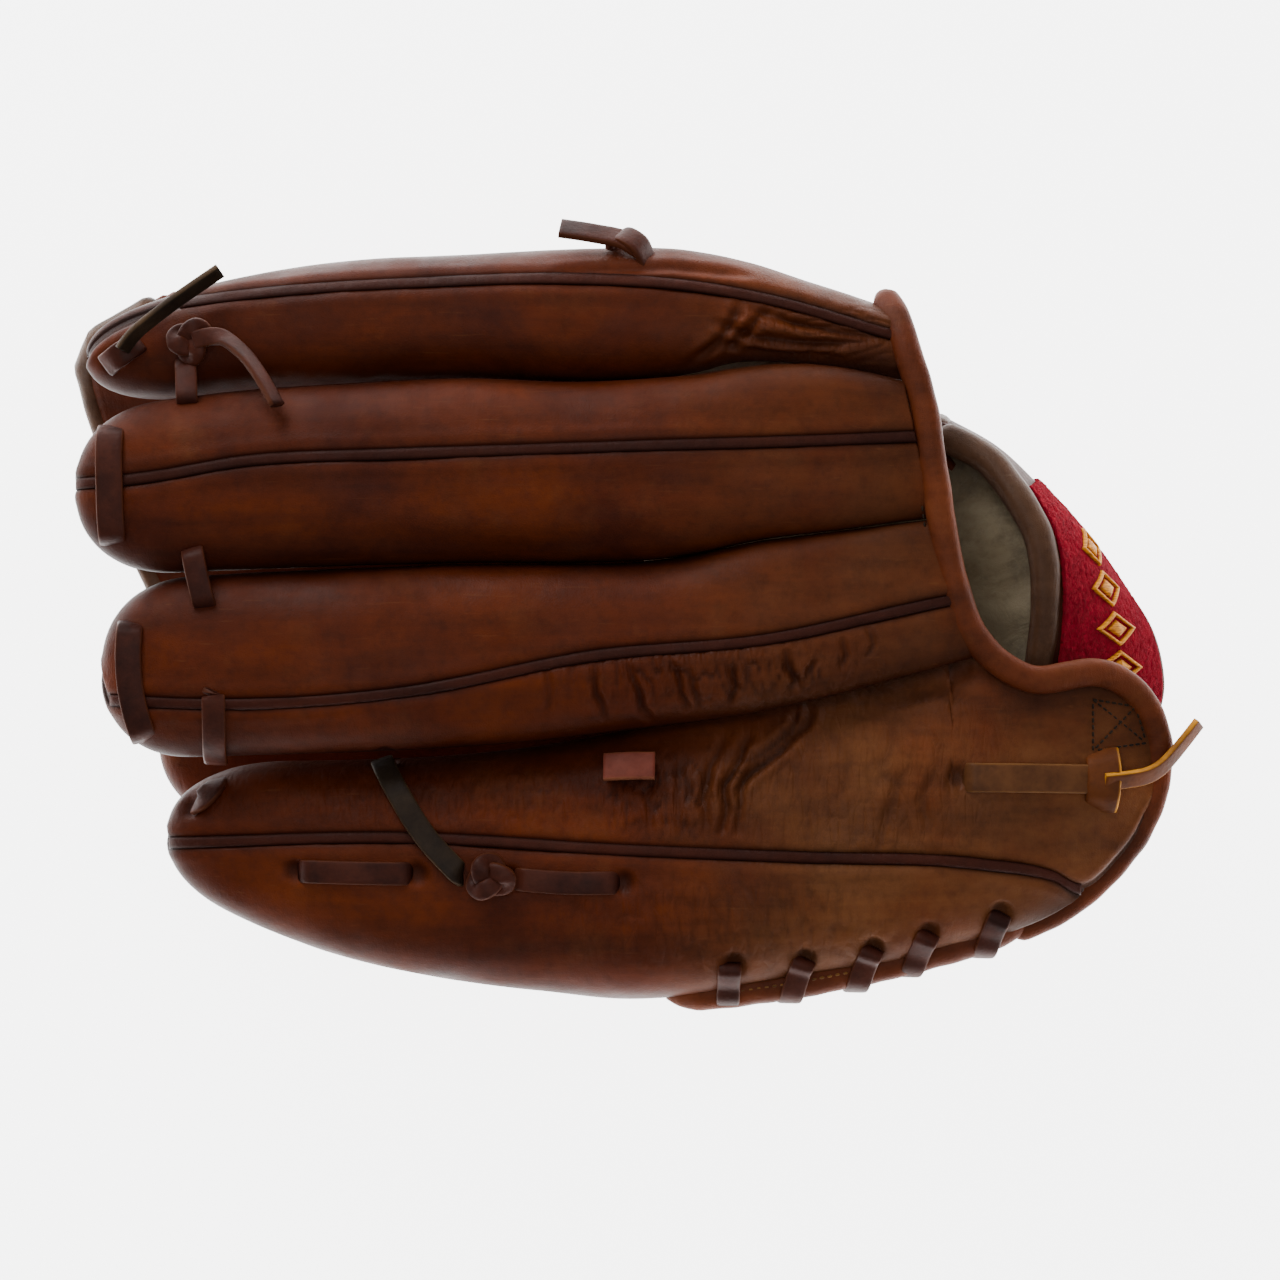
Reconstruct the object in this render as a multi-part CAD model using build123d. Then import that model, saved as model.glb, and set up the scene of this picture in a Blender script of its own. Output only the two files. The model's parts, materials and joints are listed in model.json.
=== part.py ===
from build123d import *
import math
import os

# Baseball glove for the left hand, folded shut and lying palm down.
# +X runs to the wrist, +Y to the index finger, +Z out of the back of the hand. Millimetres.
# The hand half (four finger stalls and the wrist) lies on the thumb half (thumb stall, thumb-side palm and web).

# ---------------------------------------------------------------- driving sizes
HIDE = 2.8              # outer leather
SKIVED = 1.7            # lining leather
PAD = 3.0               # felt padding in the palm
WELT_WIDTH = 3.2        # raised strip sewn along the middle of each finger back
WELT_PROUD = 0.9
BINDING_RADIUS = 3.2    # rolled leather edge
LACE_WIDTH = 6.4        # quarter-inch rawhide lace
LACE_THICK = 2.0
ROUNDNESS = 0.44        # corner radius of a stall's section, as a part of its smaller side
TIP_LENGTH = 26.0       # the rounded end of a stall
TIP_STEPS = (0.03, 0.16, 0.45, 1.0)
STALL_END = 6.0         # where the stalls open into the hand space
FAR = 400.0             # larger than the glove, for cutting blocks
CLEAR = 0.15            # between a lace and the leather it lies on

# Finger stalls, a row for each section: x, y_low, y_high, z_low, z_high
STALLS = {
    "index": (
        (-120, 64.2, 91.5, 52, 74),
        (-90, 67.2, 98.5, 50, 78),
        (-45, 69.2, 102.6, 50, 80),
        (0, 68.6, 104.2, 50, 82),
        (35, 72.6, 100.6, 50, 82),
        (84, 67.2, 85.0, 52, 78),
    ),
    "middle": (
        (-121, 15.8, 63.2, 62, 88),
        (-90, 17.4, 66.2, 61, 90),
        (-45, 18.6, 68.2, 60, 92),
        (0, 18.8, 67.6, 58, 92),
        (35, 24.6, 71.6, 56, 90),
        (92, 31.0, 66.2, 54, 84),
    ),
    "ring": (
        (-116, -34.2, 14.8, 60, 86),
        (-90, -33.4, 16.4, 60, 89),
        (-45, -31.4, 17.6, 59, 91),
        (0, -27.2, 17.8, 57, 91),
        (35, -21.0, 23.6, 55, 90),
        (104, -6.0, 30.0, 52, 84),
    ),
    "pinky": (
        (-99, -82.0, -36.0, 47, 73),
        (-60, -94.0, -35.6, 45, 77),
        (-20, -99.8, -32.8, 43, 80),
        (20, -103.0, -28.0, 41, 81),
        (60, -100.0, -20.8, 40, 81),
    ),
    "thumb": (
        (-104, -56.0, -6.0, 0, 25),
        (-45, -64.0, 2.0, 0, 29),
        (20, -66.0, 4.0, 0, 30),
        (60, -64.0, 2.0, 0, 30),
        (100, -58.0, -6.0, 0, 28),
    ),
}
# The finger back meets the palm-side leather at this height
SPLIT_HEIGHT = {"index": 63.0, "middle": 74.0, "ring": 73.0, "pinky": 58.0, "thumb": 15.0}

# Where the palm-side leather of a stall ends and the palm shell begins; the index stall runs on along the edge
FRONT_END = {"index": 78.0, "middle": STALL_END, "ring": STALL_END}

# Welt down the middle of each back: x, y
WELT_LINES = {
    "index": ((-150, 84), (-107, 88), (-60, 92), (-17, 93), (21, 91.5), (45, 87), (90, 76)),
    "middle": ((-155, 39), (-133, 41), (-101, 46), (-60, 47.8), (5, 50), (100, 52.7)),
    "ring": ((-150, -19.5), (-104, -20.5), (-60, -17), (-6, -6.8), (38, -2.7), (110, 10)),
    "pinky": ((-140, -58.7), (-60, -56.8), (0, -60), (48, -62), (98, -64), (124, -68)),
    "thumb": ((-140, -31), (0, -31), (110, -32)),
}

# Heel flap, the little-finger side carried on to the wrist: same columns as the stalls
HEEL = (
    (20, -103.0, -28.0, 41, 81),
    (60, -100.0, -20.8, 40, 81),
    (85, -94.0, -12.0, 40, 80),
    (110, -86.0, -8.0, 41, 77),
    (153, -66.0, -18.0, 46, 66),
)
# Edges of the leather in plan: the flap on the wrist, and the back opening, each with the ground it encloses
FLAP_EDGE = ((95, -4), (108, -18), (130, -18), (138.5, -23), (143.5, -33), (140.5, -46), (132, -61), (132, -120))
FLAP_GROUND = FLAP_EDGE + ((90, -120), (0, -120), (0, 0), (80, 40))
BACK_EDGE = ((66, 120), (68, 88), (73, 69), (78.5, 40), (86.5, 8), (95, -4))
BACK_GROUND = BACK_EDGE + ((96, -FAR), (-FAR, -FAR), (-FAR, 120))
# Rolled leather along those edges
BACK_BINDING = ((73, 86, 72), (78, 68, 78), (83.5, 40, 80), (91.5, 8, 80), (99, -3, 78), (110, -14, 76))
FLAP_BINDING = (
    (117, -13.5, 75.4), (131, -13.5, 71), (142.5, -20, 66), (148, -33, 63), (145, -47, 62), (137, -63, 62),
)

# Fold of the little finger at its base: a line across the stall
PINKY_FOLD = (18.0, -62.0, 61.0)
PINKY_ALONG = (-0.085, 0.9964, 0.0)
PINKY_FOLD_RADIUS = 26.0
FOLD_GAP = 0.5

# Fold of the whole glove, along the index side
THUMB_FOLD_Y = 91.0
THUMB_FOLD_Z = 43.5
# Middle line of the thumb-side palm and web, from the thumb stall to the fold: y, z
SHEET_LINE = ((4.6, 7.0), (20, 3.6), (42, 3.6), (66, 14.0), (84, 31.0), (THUMB_FOLD_Y, THUMB_FOLD_Z))
SHEET_HALF = 3.6        # half its thickness
SHEET_PALM_X = (-20.0, 66.0)
WEB_GAP = 0.2           # between the front and the back of the web, and the middle line
WEB_X = (-150.0, -24.0)
WEB_OUTLINE = (
    (-24, -5), (-124, -5), (-136, 25), (-143, 50), (-143, 66), (-134, 78), (-116, 87), (-100, 110), (-24, 110),
)
WEB_RIM = ((-129.5, 8), (-141, 26), (-147.5, 50), (-147, 67.5), (-137, 81))
WEB_LACE_X = -21.9

# Space for the hand, from the finger stalls to the wrist: x, y_low, y_high, z_low, z_high
HAND_SPACE = (
    (STALL_END, -86, 84, 56, 77),
    (50, -84, 80, 52, 77),
    (92, -78, 66, 50, 72),
    (160, -64, 60, 50, 62),
)
# Palm of the hand half: its outer sections, its outline in plan, its highest point and where its lining ends
PALM_OUTER = (
    (STALL_END, -98, 66, 42, 70),
    (50, -96, 66, 40, 70),
    (92, -90, 62, 39, 70),
    (160, -70, 55, 42, 62),
)
PALM_OUTLINE = (
    (STALL_END, -100), (STALL_END, 84), (66, 82), (74, 58), (86, 38), (106, 20), (118, 8), (125, 0), (125, -20),
    (137, -26), (138, -42), (131, -58), (110, -74), (70, -92),
)
PALM_TOP = 57.0
PALM_LINING_X = (STALL_END + HIDE, 128.0)
PALM_CLEAR_Y = -16.0    # beyond this the palm is out of the little finger's way

# Plastic stiffeners against the outer sides of the little finger and the thumb: x from and to, and highest y
PINKY_STIFFENER = ((-90, 0), -88)
THUMB_STIFFENER = ((-80, 10), -50)

# Wrist strap, from under the flap over the wrist: its two edges
STRAP_TOP = ((119, -3, 66), (118, 11, 68), (115, 25, 67), (107, 38, 63), (97, 48, 55), (89, 54, 45))
STRAP_FOOT = ((141, 0, 40), (133, 13, 39), (123, 26, 37), (109, 38, 33), (98, 45, 26), (90, 49, 17))
STRAP_THICK = 3.2
STRAP_START = 0.18      # the strap starts below its binding, as a part of its width
PATCH_ALONG = (0.0, 3.4)        # from one of the edges' points to another
PATCH_ACROSS = (0.22, 0.9)
PATCH_THICK = 1.6       # felt
LOZENGES = ((0.25, 0.55), (0.95, 1.25), (1.65, 1.95), (2.35, 2.65))
LOZENGE_ACROSS = (0.42, 0.72)
THREAD = 0.6

# Laces: routes by hand, x, y, z
FINGERTIP_LACES = (
    ("middle", (-0.5, 0, 1), ((-139, 56, 85), (-140, 48, 87), (-140, 39, 88), (-140, 31, 87), (-139, 23, 84))),
    ("ring", (-0.5, 0, 1), ((-134, 3, 83), (-135.5, -5, 86), (-135.5, -13, 86), (-133, -21, 85), (-129, -28, 81))),
    ("index middle", (0, 0, 1), ((-119, 71, 76.5), (-119, 67, 77.5), (-119, 63, 81), (-119, 57, 89))),
    ("middle ring", (0, 0, 1), ((-117, 24, 90), (-116, 18, 88), (-114, 12, 87), (-113, 5, 89))),
    ("ring", (0, 0, 1), ((-111, -17, 90), (-111, -25, 89), (-111, -31, 85), (-111, -34, 82))),
)
PINKY_TIP_LACE = ((-112, -39.5, 76), (-113, -43, 74), (-115, -48, 73.5), (-119, -50, 72))
INDEX_KNOTS = ((-136.5, 76, 75.5), (-117, 79, 78))
KNOT_SIZE = 5.5
PINKY_LOOP_RUNS = (
    ((-88, -66, 75.5), (-74, -67, 77), (-58, -67, 78)),
    ((-29, -68, 80), (-15, -69, 81), (-1.5, -69, 81.5)),
)
PINKY_KNOT = (-35.5, -67.5, 82)
PINKY_CROSS_LACE = ((-66, -38, 76), (-60, -46, 79), (-52, -57, 80.5), (-44, -66, 81))
CROTCH_LACE = ((6, -29.5, 84), (4, -34, 83.5), (-1, -40, 84))
WEB_LACE_END = ((5, 105, 74), (-2, 106.3, 74), (-9, 107.5, 74.5), (-17, 108.3, 75))
WRIST_LACE = ((93, -40.4, 80.5), (108, -40.6, 78.5), (124, -41, 75))
WRIST_KNOT = (132, -41.5, 73.5)
PINKY_CROSSINGS = ((26, -103.8),)
HEEL_CROSSINGS = ((49, -101.6), (67, -99.2), (84, -94.4), (100, -89.7))
CROSSING_SHAPE = ((-3, 7, 81), (-1.5, 1, 77), (0, -1.2, 68), (1, -1.2, 54), (2, 1, 45))
# Lace tails that lie free, with a round section
TAILS = {
    "index_tail_long": ((-134, 80.5, 79), (-128, 85, 81.5), (-120, 91, 83), (-111, 97, 83)),
    "index_tail_curved": ((-110.8, 81, 81), (-105, 77.5, 84), (-99, 71, 88), (-94.5, 63, 92.5)),
    "wrist_tail": ((139, -41, 73.5), (146, -39.5, 71), (151.5, -34.5, 68.5), (155, -27, 67)),
}


# ---------------------------------------------------------------- shapes used again and again
def section(x, y_low, y_high, z_low, z_high):
    """A rounded section across the glove."""
    width = y_high - y_low
    height = z_high - z_low
    middle = (x, (y_low + y_high) / 2, (z_low + z_high) / 2)
    across = Plane(origin=middle, x_dir=(0, 1, 0), z_dir=(1, 0, 0))
    return across * RectangleRounded(width, height, min(width, height) * ROUNDNESS)


def inset_row(row, inset):
    x, y_low, y_high, z_low, z_high = row
    return (x, y_low + inset, y_high - inset, z_low + inset, z_high - inset)


def stall(rows, inset=0.0):
    """A finger stall as one solid with a round tip, all its faces moved in by inset."""
    rows = [inset_row(row, inset) for row in rows]
    x, y_low, y_high, z_low, z_high = rows[0]
    tip = x - TIP_LENGTH + inset
    y_mid = (y_low + y_high) / 2
    z_mid = (z_low + z_high) / 2
    faces = []
    for step in TIP_STEPS:
        size = math.sqrt(1 - (1 - step) ** 2)
        y_half = (y_high - y_low) / 2 * size
        z_half = (z_high - z_low) / 2 * size
        faces.append(section(tip + (x - tip) * step, y_mid - y_half, y_mid + y_half, z_mid - z_half, z_mid + z_half))
    return loft(faces + [section(*row) for row in rows[1:]], ruled=True)


def tunnel(rows, inset=0.0):
    """A solid with flat ends through the rows."""
    return loft([section(*inset_row(row, inset)) for row in rows], ruled=True)


def block(x=(-FAR, FAR), y=(-FAR, FAR), z=(-FAR, FAR)):
    """A box between the given lowest and highest values."""
    middle = ((x[0] + x[1]) / 2, (y[0] + y[1]) / 2, (z[0] + z[1]) / 2)
    return Pos(*middle) * Box(x[1] - x[0], y[1] - y[0], z[1] - z[0])


def prism(points, z=(-FAR, FAR)):
    """An outline in plan, carried from one height to another."""
    outline = make_face(Polyline(*[(x, y, z[0]) for x, y in points], close=True))
    return extrude(outline, amount=z[1] - z[0], dir=(0, 0, 1))


def seam_parts(line, width):
    """The strip along a seam, and the ground on its two sides."""
    left = [(x, y + width / 2) for x, y in line]
    right = [(x, y - width / 2) for x, y in line]
    strip = prism(left + right[::-1])
    upper = prism(left + [(line[-1][0], FAR), (line[0][0], FAR)])
    lower = prism(right + [(line[-1][0], -FAR), (line[0][0], -FAR)])
    return strip, upper, lower


def largest(shape):
    """The biggest solid of a shape: what a cut leaves as crumbs is dropped."""
    return max(shape.solids(), key=lambda solid: solid.volume)


def flat_lace(points, normal, width=LACE_WIDTH, thick=LACE_THICK):
    """A flat lace along points, its broad side facing the normal."""
    points = [Vector(*point) for point in points]
    faces = []
    for i, point in enumerate(points):
        along = points[min(i + 1, len(points) - 1)] - points[max(i - 1, 0)]
        across = Vector(*normal).cross(along).normalized() * (width / 2)
        up = along.cross(across).normalized() * (thick / 2)
        corners = [point + across + up, point - across + up, point - across - up, point + across - up]
        faces.append(make_face(Polyline(*corners, close=True)))
    return loft(faces, ruled=True)


def band(along, across, low, high):
    """A piece of the strap between two places along and across it, low and high above its middle."""
    tops = [Vector(*point) for point in STRAP_TOP]
    feet = [Vector(*point) for point in STRAP_FOOT]
    first, last = along
    stops = [first] + [i for i in range(len(tops)) if first < i < last] + [last]
    faces = []
    for stop in stops:
        i = min(int(stop), len(tops) - 2)
        near, far = (strap_corners(tops, feet, k, across, low, high) for k in (i, i + 1))
        corners = [a + (b - a) * (stop - i) for a, b in zip(near, far)]
        faces.append(make_face(Polyline(*corners, close=True)))
    return loft(faces, ruled=True)


def strap_corners(tops, feet, i, across, low, high):
    """The four corners of the strap's section at one point of its edges."""
    along = tops[min(i + 1, len(tops) - 1)] - tops[max(i - 1, 0)]
    width = feet[i] - tops[i]
    out = width.cross(along).normalized()
    first = tops[i] + width * across[0]
    last = tops[i] + width * across[1]
    return [first + out * low, first + out * high, last + out * high, last + out * low]


def tube(points, radius, radii):
    """A round cord along straight runs joined by arcs."""
    path = FilletPolyline(*points, radius=radii)
    start = Plane(origin=path @ 0, z_dir=path % 0)
    return sweep(start * Circle(radius), path=path)


def knot(x, y, z, size):
    """A pulled-tight overhand knot: a flattened ball."""
    return Pos(x, y, z) * scale(Sphere(size), by=(1.15, 0.95, 0.75))


def write(name, shape):
    """One STEP file for each piece."""
    shape.label = name
    export_step(shape, f"parts/{name}.step")


def corner_radii(points):
    """The largest arc that each corner of a lace's route leaves room for."""
    points = [Vector(*point) for point in points]
    radii = []
    for before, corner, after in zip(points, points[1:], points[2:]):
        turn = math.radians((corner - before).get_angle(after - corner))
        shorter = min((corner - before).length, (after - corner).length)
        radii.append(0.45 * shorter / math.tan(turn / 2))
    print("arc radii", [round(radius, 1) for radius in radii])
    return radii


# ---------------------------------------------------------------- the two folds
def pinky_fold_spaces():
    """The ground of the moving little finger, and the ground of the heel behind its fold."""
    across = Plane(origin=PINKY_FOLD, x_dir=(0, 0, 1), z_dir=PINKY_ALONG)
    turned = math.degrees(math.atan2(-PINKY_ALONG[0], PINKY_ALONG[1]))
    ahead = Pos(*PINKY_FOLD) * Rot(0, 0, turned) * block(x=(-FAR, 0))
    behind = Pos(*PINKY_FOLD) * Rot(0, 0, turned) * block(x=(0, FAR))
    round_end = across * Cylinder(PINKY_FOLD_RADIUS, FAR)
    hollow_end = across * Cylinder(PINKY_FOLD_RADIUS + FOLD_GAP, FAR)
    return ahead + round_end, behind - hollow_end


# ---------------------------------------------------------------- pieces of the hand half
def make_finger(name):
    """Two back panels, the welt, the front and the lining of a stall that doesn't move."""
    rows = STALLS[name]
    outer = stall(rows)
    inner = stall(rows, HIDE)
    hollow = stall(rows, HIDE + SKIVED)
    strip, upper, lower = seam_parts(WELT_LINES[name], WELT_WIDTH)
    above = block(z=(SPLIT_HEIGHT[name], FAR))
    back = (outer - inner - hand_space) & above & back_ground
    write(f"{name}_back_thumb_side", largest(back & upper))
    write(f"{name}_back_pinky_side", largest(back & lower))
    proud = stall(rows, -WELT_PROUD) - stall(rows, HIDE - WELT_PROUD)
    write(f"{name}_welt", largest((proud - hand_space) & above & strip & back_ground))
    front = (outer - inner - hand_space) & block(x=(-FAR, FRONT_END[name]), z=(-FAR, SPLIT_HEIGHT[name]))
    write(f"{name}_front", largest(front))
    write(f"{name}_lining", largest((inner - hollow) & block(x=(-FAR, STALL_END))))


def stiffener(rows, x, y_high):
    """A plastic sheet inside the lining, on the outer side of a stall."""
    layer = stall(rows, HIDE + SKIVED) - stall(rows, HIDE + 2 * SKIVED)
    return largest(layer & block(x=x, y=(-FAR, y_high)))


def make_pinky(moving, fixed):
    """The little finger ahead of its fold, and the heel flap behind it."""
    rows = STALLS["pinky"]
    outer = stall(rows)
    inner = stall(rows, HIDE)
    hollow = stall(rows, HIDE + SKIVED)
    strip, upper, lower = seam_parts(WELT_LINES["pinky"], WELT_WIDTH)
    above = block(z=(SPLIT_HEIGHT["pinky"], FAR))
    back = (outer - inner) & above & moving
    write("pinky_back_ring_side", largest(back & upper))
    write("pinky_back_outer_side", largest(back & lower))
    proud = stall(rows, -WELT_PROUD) - stall(rows, HIDE - WELT_PROUD)
    write("pinky_welt", largest(proud & above & strip & moving))
    write("pinky_front", largest((outer - inner) & block(z=(-FAR, SPLIT_HEIGHT["pinky"])) & moving))
    write("pinky_lining", largest((inner - hollow) & block(x=(-FAR, STALL_END)) & moving))
    write("pinky_stiffener", stiffener(rows, *PINKY_STIFFENER))

    heel = tunnel(HEEL) - tunnel(HEEL, HIDE)
    heel_back = (heel - hand_space) & above & fixed & flap_ground
    write("heel_flap_upper", largest(heel_back & upper))
    write("heel_flap_lower", largest(heel_back & (lower + block(x=(WELT_LINES["pinky"][-1][0], FAR)))))
    heel_proud = tunnel(HEEL, -WELT_PROUD) - tunnel(HEEL, HIDE - WELT_PROUD)
    write("heel_welt", largest(heel_proud & above & strip & fixed & flap_ground))


def make_palm(fixed):
    """The palm shell with its padding and lining under the hand space, and the lining of the back."""
    ground = prism(PALM_OUTLINE, z=(-FAR, PALM_TOP))
    layers = [tunnel(PALM_OUTER, inset) for inset in (0, HIDE, HIDE + PAD, HIDE + PAD + SKIVED)]
    for name, outer, inner in zip(("palm_shell", "palm_pad", "palm_lining"), layers, layers[1:]):
        sheet = (outer - inner) & ground
        if name != "palm_shell":
            sheet = sheet & block(x=PALM_LINING_X)
        write(name, largest(sheet & fixed_or_clear(fixed)))


def fixed_or_clear(fixed):
    """Everything but the ground that the moving little finger uses."""
    return fixed + block(y=(PALM_CLEAR_Y, FAR))


def make_bindings():
    """Rolled leather round the back opening and flap, and along the strap."""
    rolls = [tube(route, BINDING_RADIUS, corner_radii(route)) for route in (BACK_BINDING, FLAP_BINDING)]
    write("wrist_binding", Compound(children=rolls))
    write("strap_binding", tube(STRAP_TOP, BINDING_RADIUS, corner_radii(STRAP_TOP)))


def make_strap():
    """Wrist strap, its lining, the felt patch on it and a plain row of lozenges in place of a badge."""
    half = STRAP_THICK / 2
    whole = (0, len(STRAP_TOP) - 1)
    felt = half + PATCH_THICK
    write("wrist_strap", band(whole, (STRAP_START, 1), -half, half))
    write("strap_lining", band(whole, (STRAP_START, 1), -half - SKIVED, -half))
    write("wrist_patch", band(PATCH_ALONG, PATCH_ACROSS, half, felt))
    lozenges = [band(along, LOZENGE_ACROSS, felt, felt + THREAD) for along in LOZENGES]
    write("patch_embroidery", Compound(children=lozenges))


# ---------------------------------------------------------------- pieces of the thumb half
def sheet_layer(low, high, x):
    """One layer of the thumb-side palm or web, between two distances from its middle line."""
    line = [Vector(0, y, z) for y, z in SHEET_LINE]
    edges = ([], [])
    runs = [(b - a).normalized() for a, b in zip(line, line[1:])]
    for point, before, after in zip(line, runs[:1] + runs, runs + runs[-1:]):
        along = (before + after).normalized()
        out = Vector(0, -along.Z, along.Y) / along.dot(after)
        for edge, distance in zip(edges, (low, high)):
            edge.append(point + out * distance)
    outline = Polyline(*edges[0], *edges[1][::-1], close=True)
    return Pos(x[0], 0, 0) * extrude(make_face(outline), amount=x[1] - x[0], dir=(1, 0, 0))


def make_thumb():
    """The thumb stall, its back below and its palm side above."""
    rows = STALLS["thumb"]
    outer = stall(rows)
    inner = stall(rows, HIDE)
    hollow = stall(rows, HIDE + SKIVED)
    strip, upper, lower = seam_parts(WELT_LINES["thumb"], WELT_WIDTH)
    below = block(z=(-FAR, SPLIT_HEIGHT["thumb"]))
    back = (outer - inner) & below
    write("thumb_back_inner_side", largest(back & upper))
    write("thumb_back_outer_side", largest(back & lower))
    write("thumb_welt", largest((outer - stall(rows, HIDE - WELT_PROUD)) & below & strip))
    write("thumb_palm_side", largest((outer - inner) & block(z=(SPLIT_HEIGHT["thumb"], FAR))))
    write("thumb_lining", largest(inner - hollow))
    write("thumb_stiffener", stiffener(rows, *THUMB_STIFFENER))


def make_sheets():
    """Thumb-side palm in three layers, and the closed two-piece web with its rolled edge and lace."""
    write("thumb_palm_shell", sheet_layer(SHEET_HALF - HIDE, SHEET_HALF, SHEET_PALM_X))
    write("thumb_palm_pad", sheet_layer(-SHEET_HALF + HIDE, SHEET_HALF - HIDE, SHEET_PALM_X))
    write("thumb_side_back", sheet_layer(-SHEET_HALF, -SHEET_HALF + HIDE, SHEET_PALM_X))
    rim = [sheet_point(x, y) for x, y in WEB_RIM]
    radii = corner_radii(rim)
    web_ground = prism(WEB_OUTLINE) - tube(rim, BINDING_RADIUS + CLEAR, radii)
    write("web_front", largest(sheet_layer(WEB_GAP, WEB_GAP + HIDE, WEB_X) & web_ground))
    write("web_back", largest(sheet_layer(-WEB_GAP - HIDE, -WEB_GAP, WEB_X) & web_ground))
    write("web_binding", tube(rim, BINDING_RADIUS, radii))
    lace = [sheet_point(WEB_LACE_X, y) for y, z in SHEET_LINE[:-1]]
    write("web_lace", flat_lace(lace, (1, 0, 0)))


def sheet_point(x, y):
    """A point on the middle line of the thumb-side sheet."""
    for (y1, z1), (y2, z2) in zip(SHEET_LINE, SHEET_LINE[1:]):
        if y1 <= y <= y2:
            return (x, y, z1 + (z2 - z1) * (y - y1) / (y2 - y1))
    raise ValueError("off the sheet")


# ---------------------------------------------------------------- laces
def lying(shape, *names):
    """A lace or knot that lies on the leather: what would be inside the stalls is cut off."""
    for name in names:
        shape = shape - stall(STALLS[name], -WELT_PROUD - CLEAR)
    return largest(shape)


def crossings(places):
    """Stitches of the lace that closes the heel edge."""
    heel = tunnel(HEEL, -WELT_PROUD - CLEAR)
    stitches = []
    for x, y in places:
        path = [(x + dx, y + dy, z) for dx, dy, z in CROSSING_SHAPE]
        stitches.append(largest(flat_lace(path, (0, -1, 0)) - heel))
    return Compound(children=stitches)


def make_laces():
    """Rawhide laces and their knots."""
    up = (0, 0, 1)
    tips = [lying(flat_lace(route, normal), *names.split()) for names, normal, route in FINGERTIP_LACES]
    write("fingertip_lace", Compound(children=tips))
    write("pinky_tip_lace", lying(flat_lace(PINKY_TIP_LACE, up), "pinky"))
    write("index_knots", Compound(children=[lying(knot(*place, KNOT_SIZE), "index") for place in INDEX_KNOTS]))
    loops = [lying(flat_lace(run, up), "pinky") for run in PINKY_LOOP_RUNS]
    loops.append(lying(knot(*PINKY_KNOT, KNOT_SIZE), "pinky"))
    write("pinky_loop_lace", Compound(children=loops))
    write("pinky_cross_lace", lying(flat_lace(PINKY_CROSS_LACE, up), "pinky"))
    write("crotch_lace", lying(flat_lace(CROTCH_LACE, up), "pinky"))
    write("web_lace_end", lying(flat_lace(WEB_LACE_END, (0, 1, 0)), "index"))
    heel = tunnel(HEEL, -WELT_PROUD - CLEAR)
    wrist = [largest(flat_lace(WRIST_LACE, up) - heel), largest(knot(*WRIST_KNOT, KNOT_SIZE) - heel)]
    write("wrist_lace", Compound(children=wrist))
    write("pinky_edge_lace", crossings(PINKY_CROSSINGS))
    write("heel_lace", crossings(HEEL_CROSSINGS))
    for name, route in TAILS.items():
        write(name, tube(route, LACE_THICK, corner_radii(route)))


os.makedirs("parts", exist_ok=True)
hand_space = tunnel(HAND_SPACE)
back_ground = prism(BACK_GROUND)
flap_ground = prism(FLAP_GROUND)
moving_ground, fixed_ground = pinky_fold_spaces()
for finger in ("index", "middle", "ring"):
    make_finger(finger)
make_pinky(moving_ground, fixed_ground)
make_palm(fixed_ground)
make_bindings()
make_strap()
make_thumb()
make_sheets()
make_laces()
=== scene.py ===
import json
import math

import bpy
import numpy as np
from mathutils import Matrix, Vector, noise


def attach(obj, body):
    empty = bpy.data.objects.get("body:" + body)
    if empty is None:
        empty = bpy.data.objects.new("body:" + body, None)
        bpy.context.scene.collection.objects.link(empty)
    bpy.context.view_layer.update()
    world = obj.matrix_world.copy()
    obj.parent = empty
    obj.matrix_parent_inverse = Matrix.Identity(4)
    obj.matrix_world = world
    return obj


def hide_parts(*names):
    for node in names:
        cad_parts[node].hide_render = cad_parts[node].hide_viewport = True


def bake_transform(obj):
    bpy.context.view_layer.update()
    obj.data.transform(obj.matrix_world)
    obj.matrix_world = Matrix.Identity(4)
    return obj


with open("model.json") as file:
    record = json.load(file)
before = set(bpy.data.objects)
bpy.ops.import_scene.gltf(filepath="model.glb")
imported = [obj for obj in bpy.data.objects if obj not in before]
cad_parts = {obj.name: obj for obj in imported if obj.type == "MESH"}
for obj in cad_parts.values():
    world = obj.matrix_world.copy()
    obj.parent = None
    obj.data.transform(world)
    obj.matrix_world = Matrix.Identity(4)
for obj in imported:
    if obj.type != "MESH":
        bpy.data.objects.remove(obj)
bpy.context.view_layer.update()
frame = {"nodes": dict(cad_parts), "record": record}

# Looks of the baseball glove. Shapes are worked out in millimetres in the frame of the CAD model and
# turned into metres when a mesh is made. +X to the wrist, +Y to the index finger, +Z out of the back.

MM = 0.001

# ---------------------------------------------------------------- sizes
PANEL_THICK = 1.8       # leather as it shows at its edges
WELT_HALF = 1.7         # half the width of the strip between two back panels
WELT_PROUD = 0.35
LACE_WIDTH = 6.2
LACE_THICK = 2.0
LACE_SAG = 12.0         # the most that a lace falls along its way
TAIL_WIDTH = 5.0
RING_STEP = 0.9         # spacing of a stall's rings
TIP_RINGS = 26
SEAM_ROOM = 0.9         # how far across a stall a seam may lie
TIP_ROUND = 2.3         # how square a fingertip is in plan
LINE_COUNT = 50         # lines between a seam and the side of a stall
ARC_SAMPLES = 140
PALM_START = 8.0        # where the stalls open into the palm
INNER_WALL = 0.5        # how far round the index stall's inner side stops in the palm, as an angle

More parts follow.
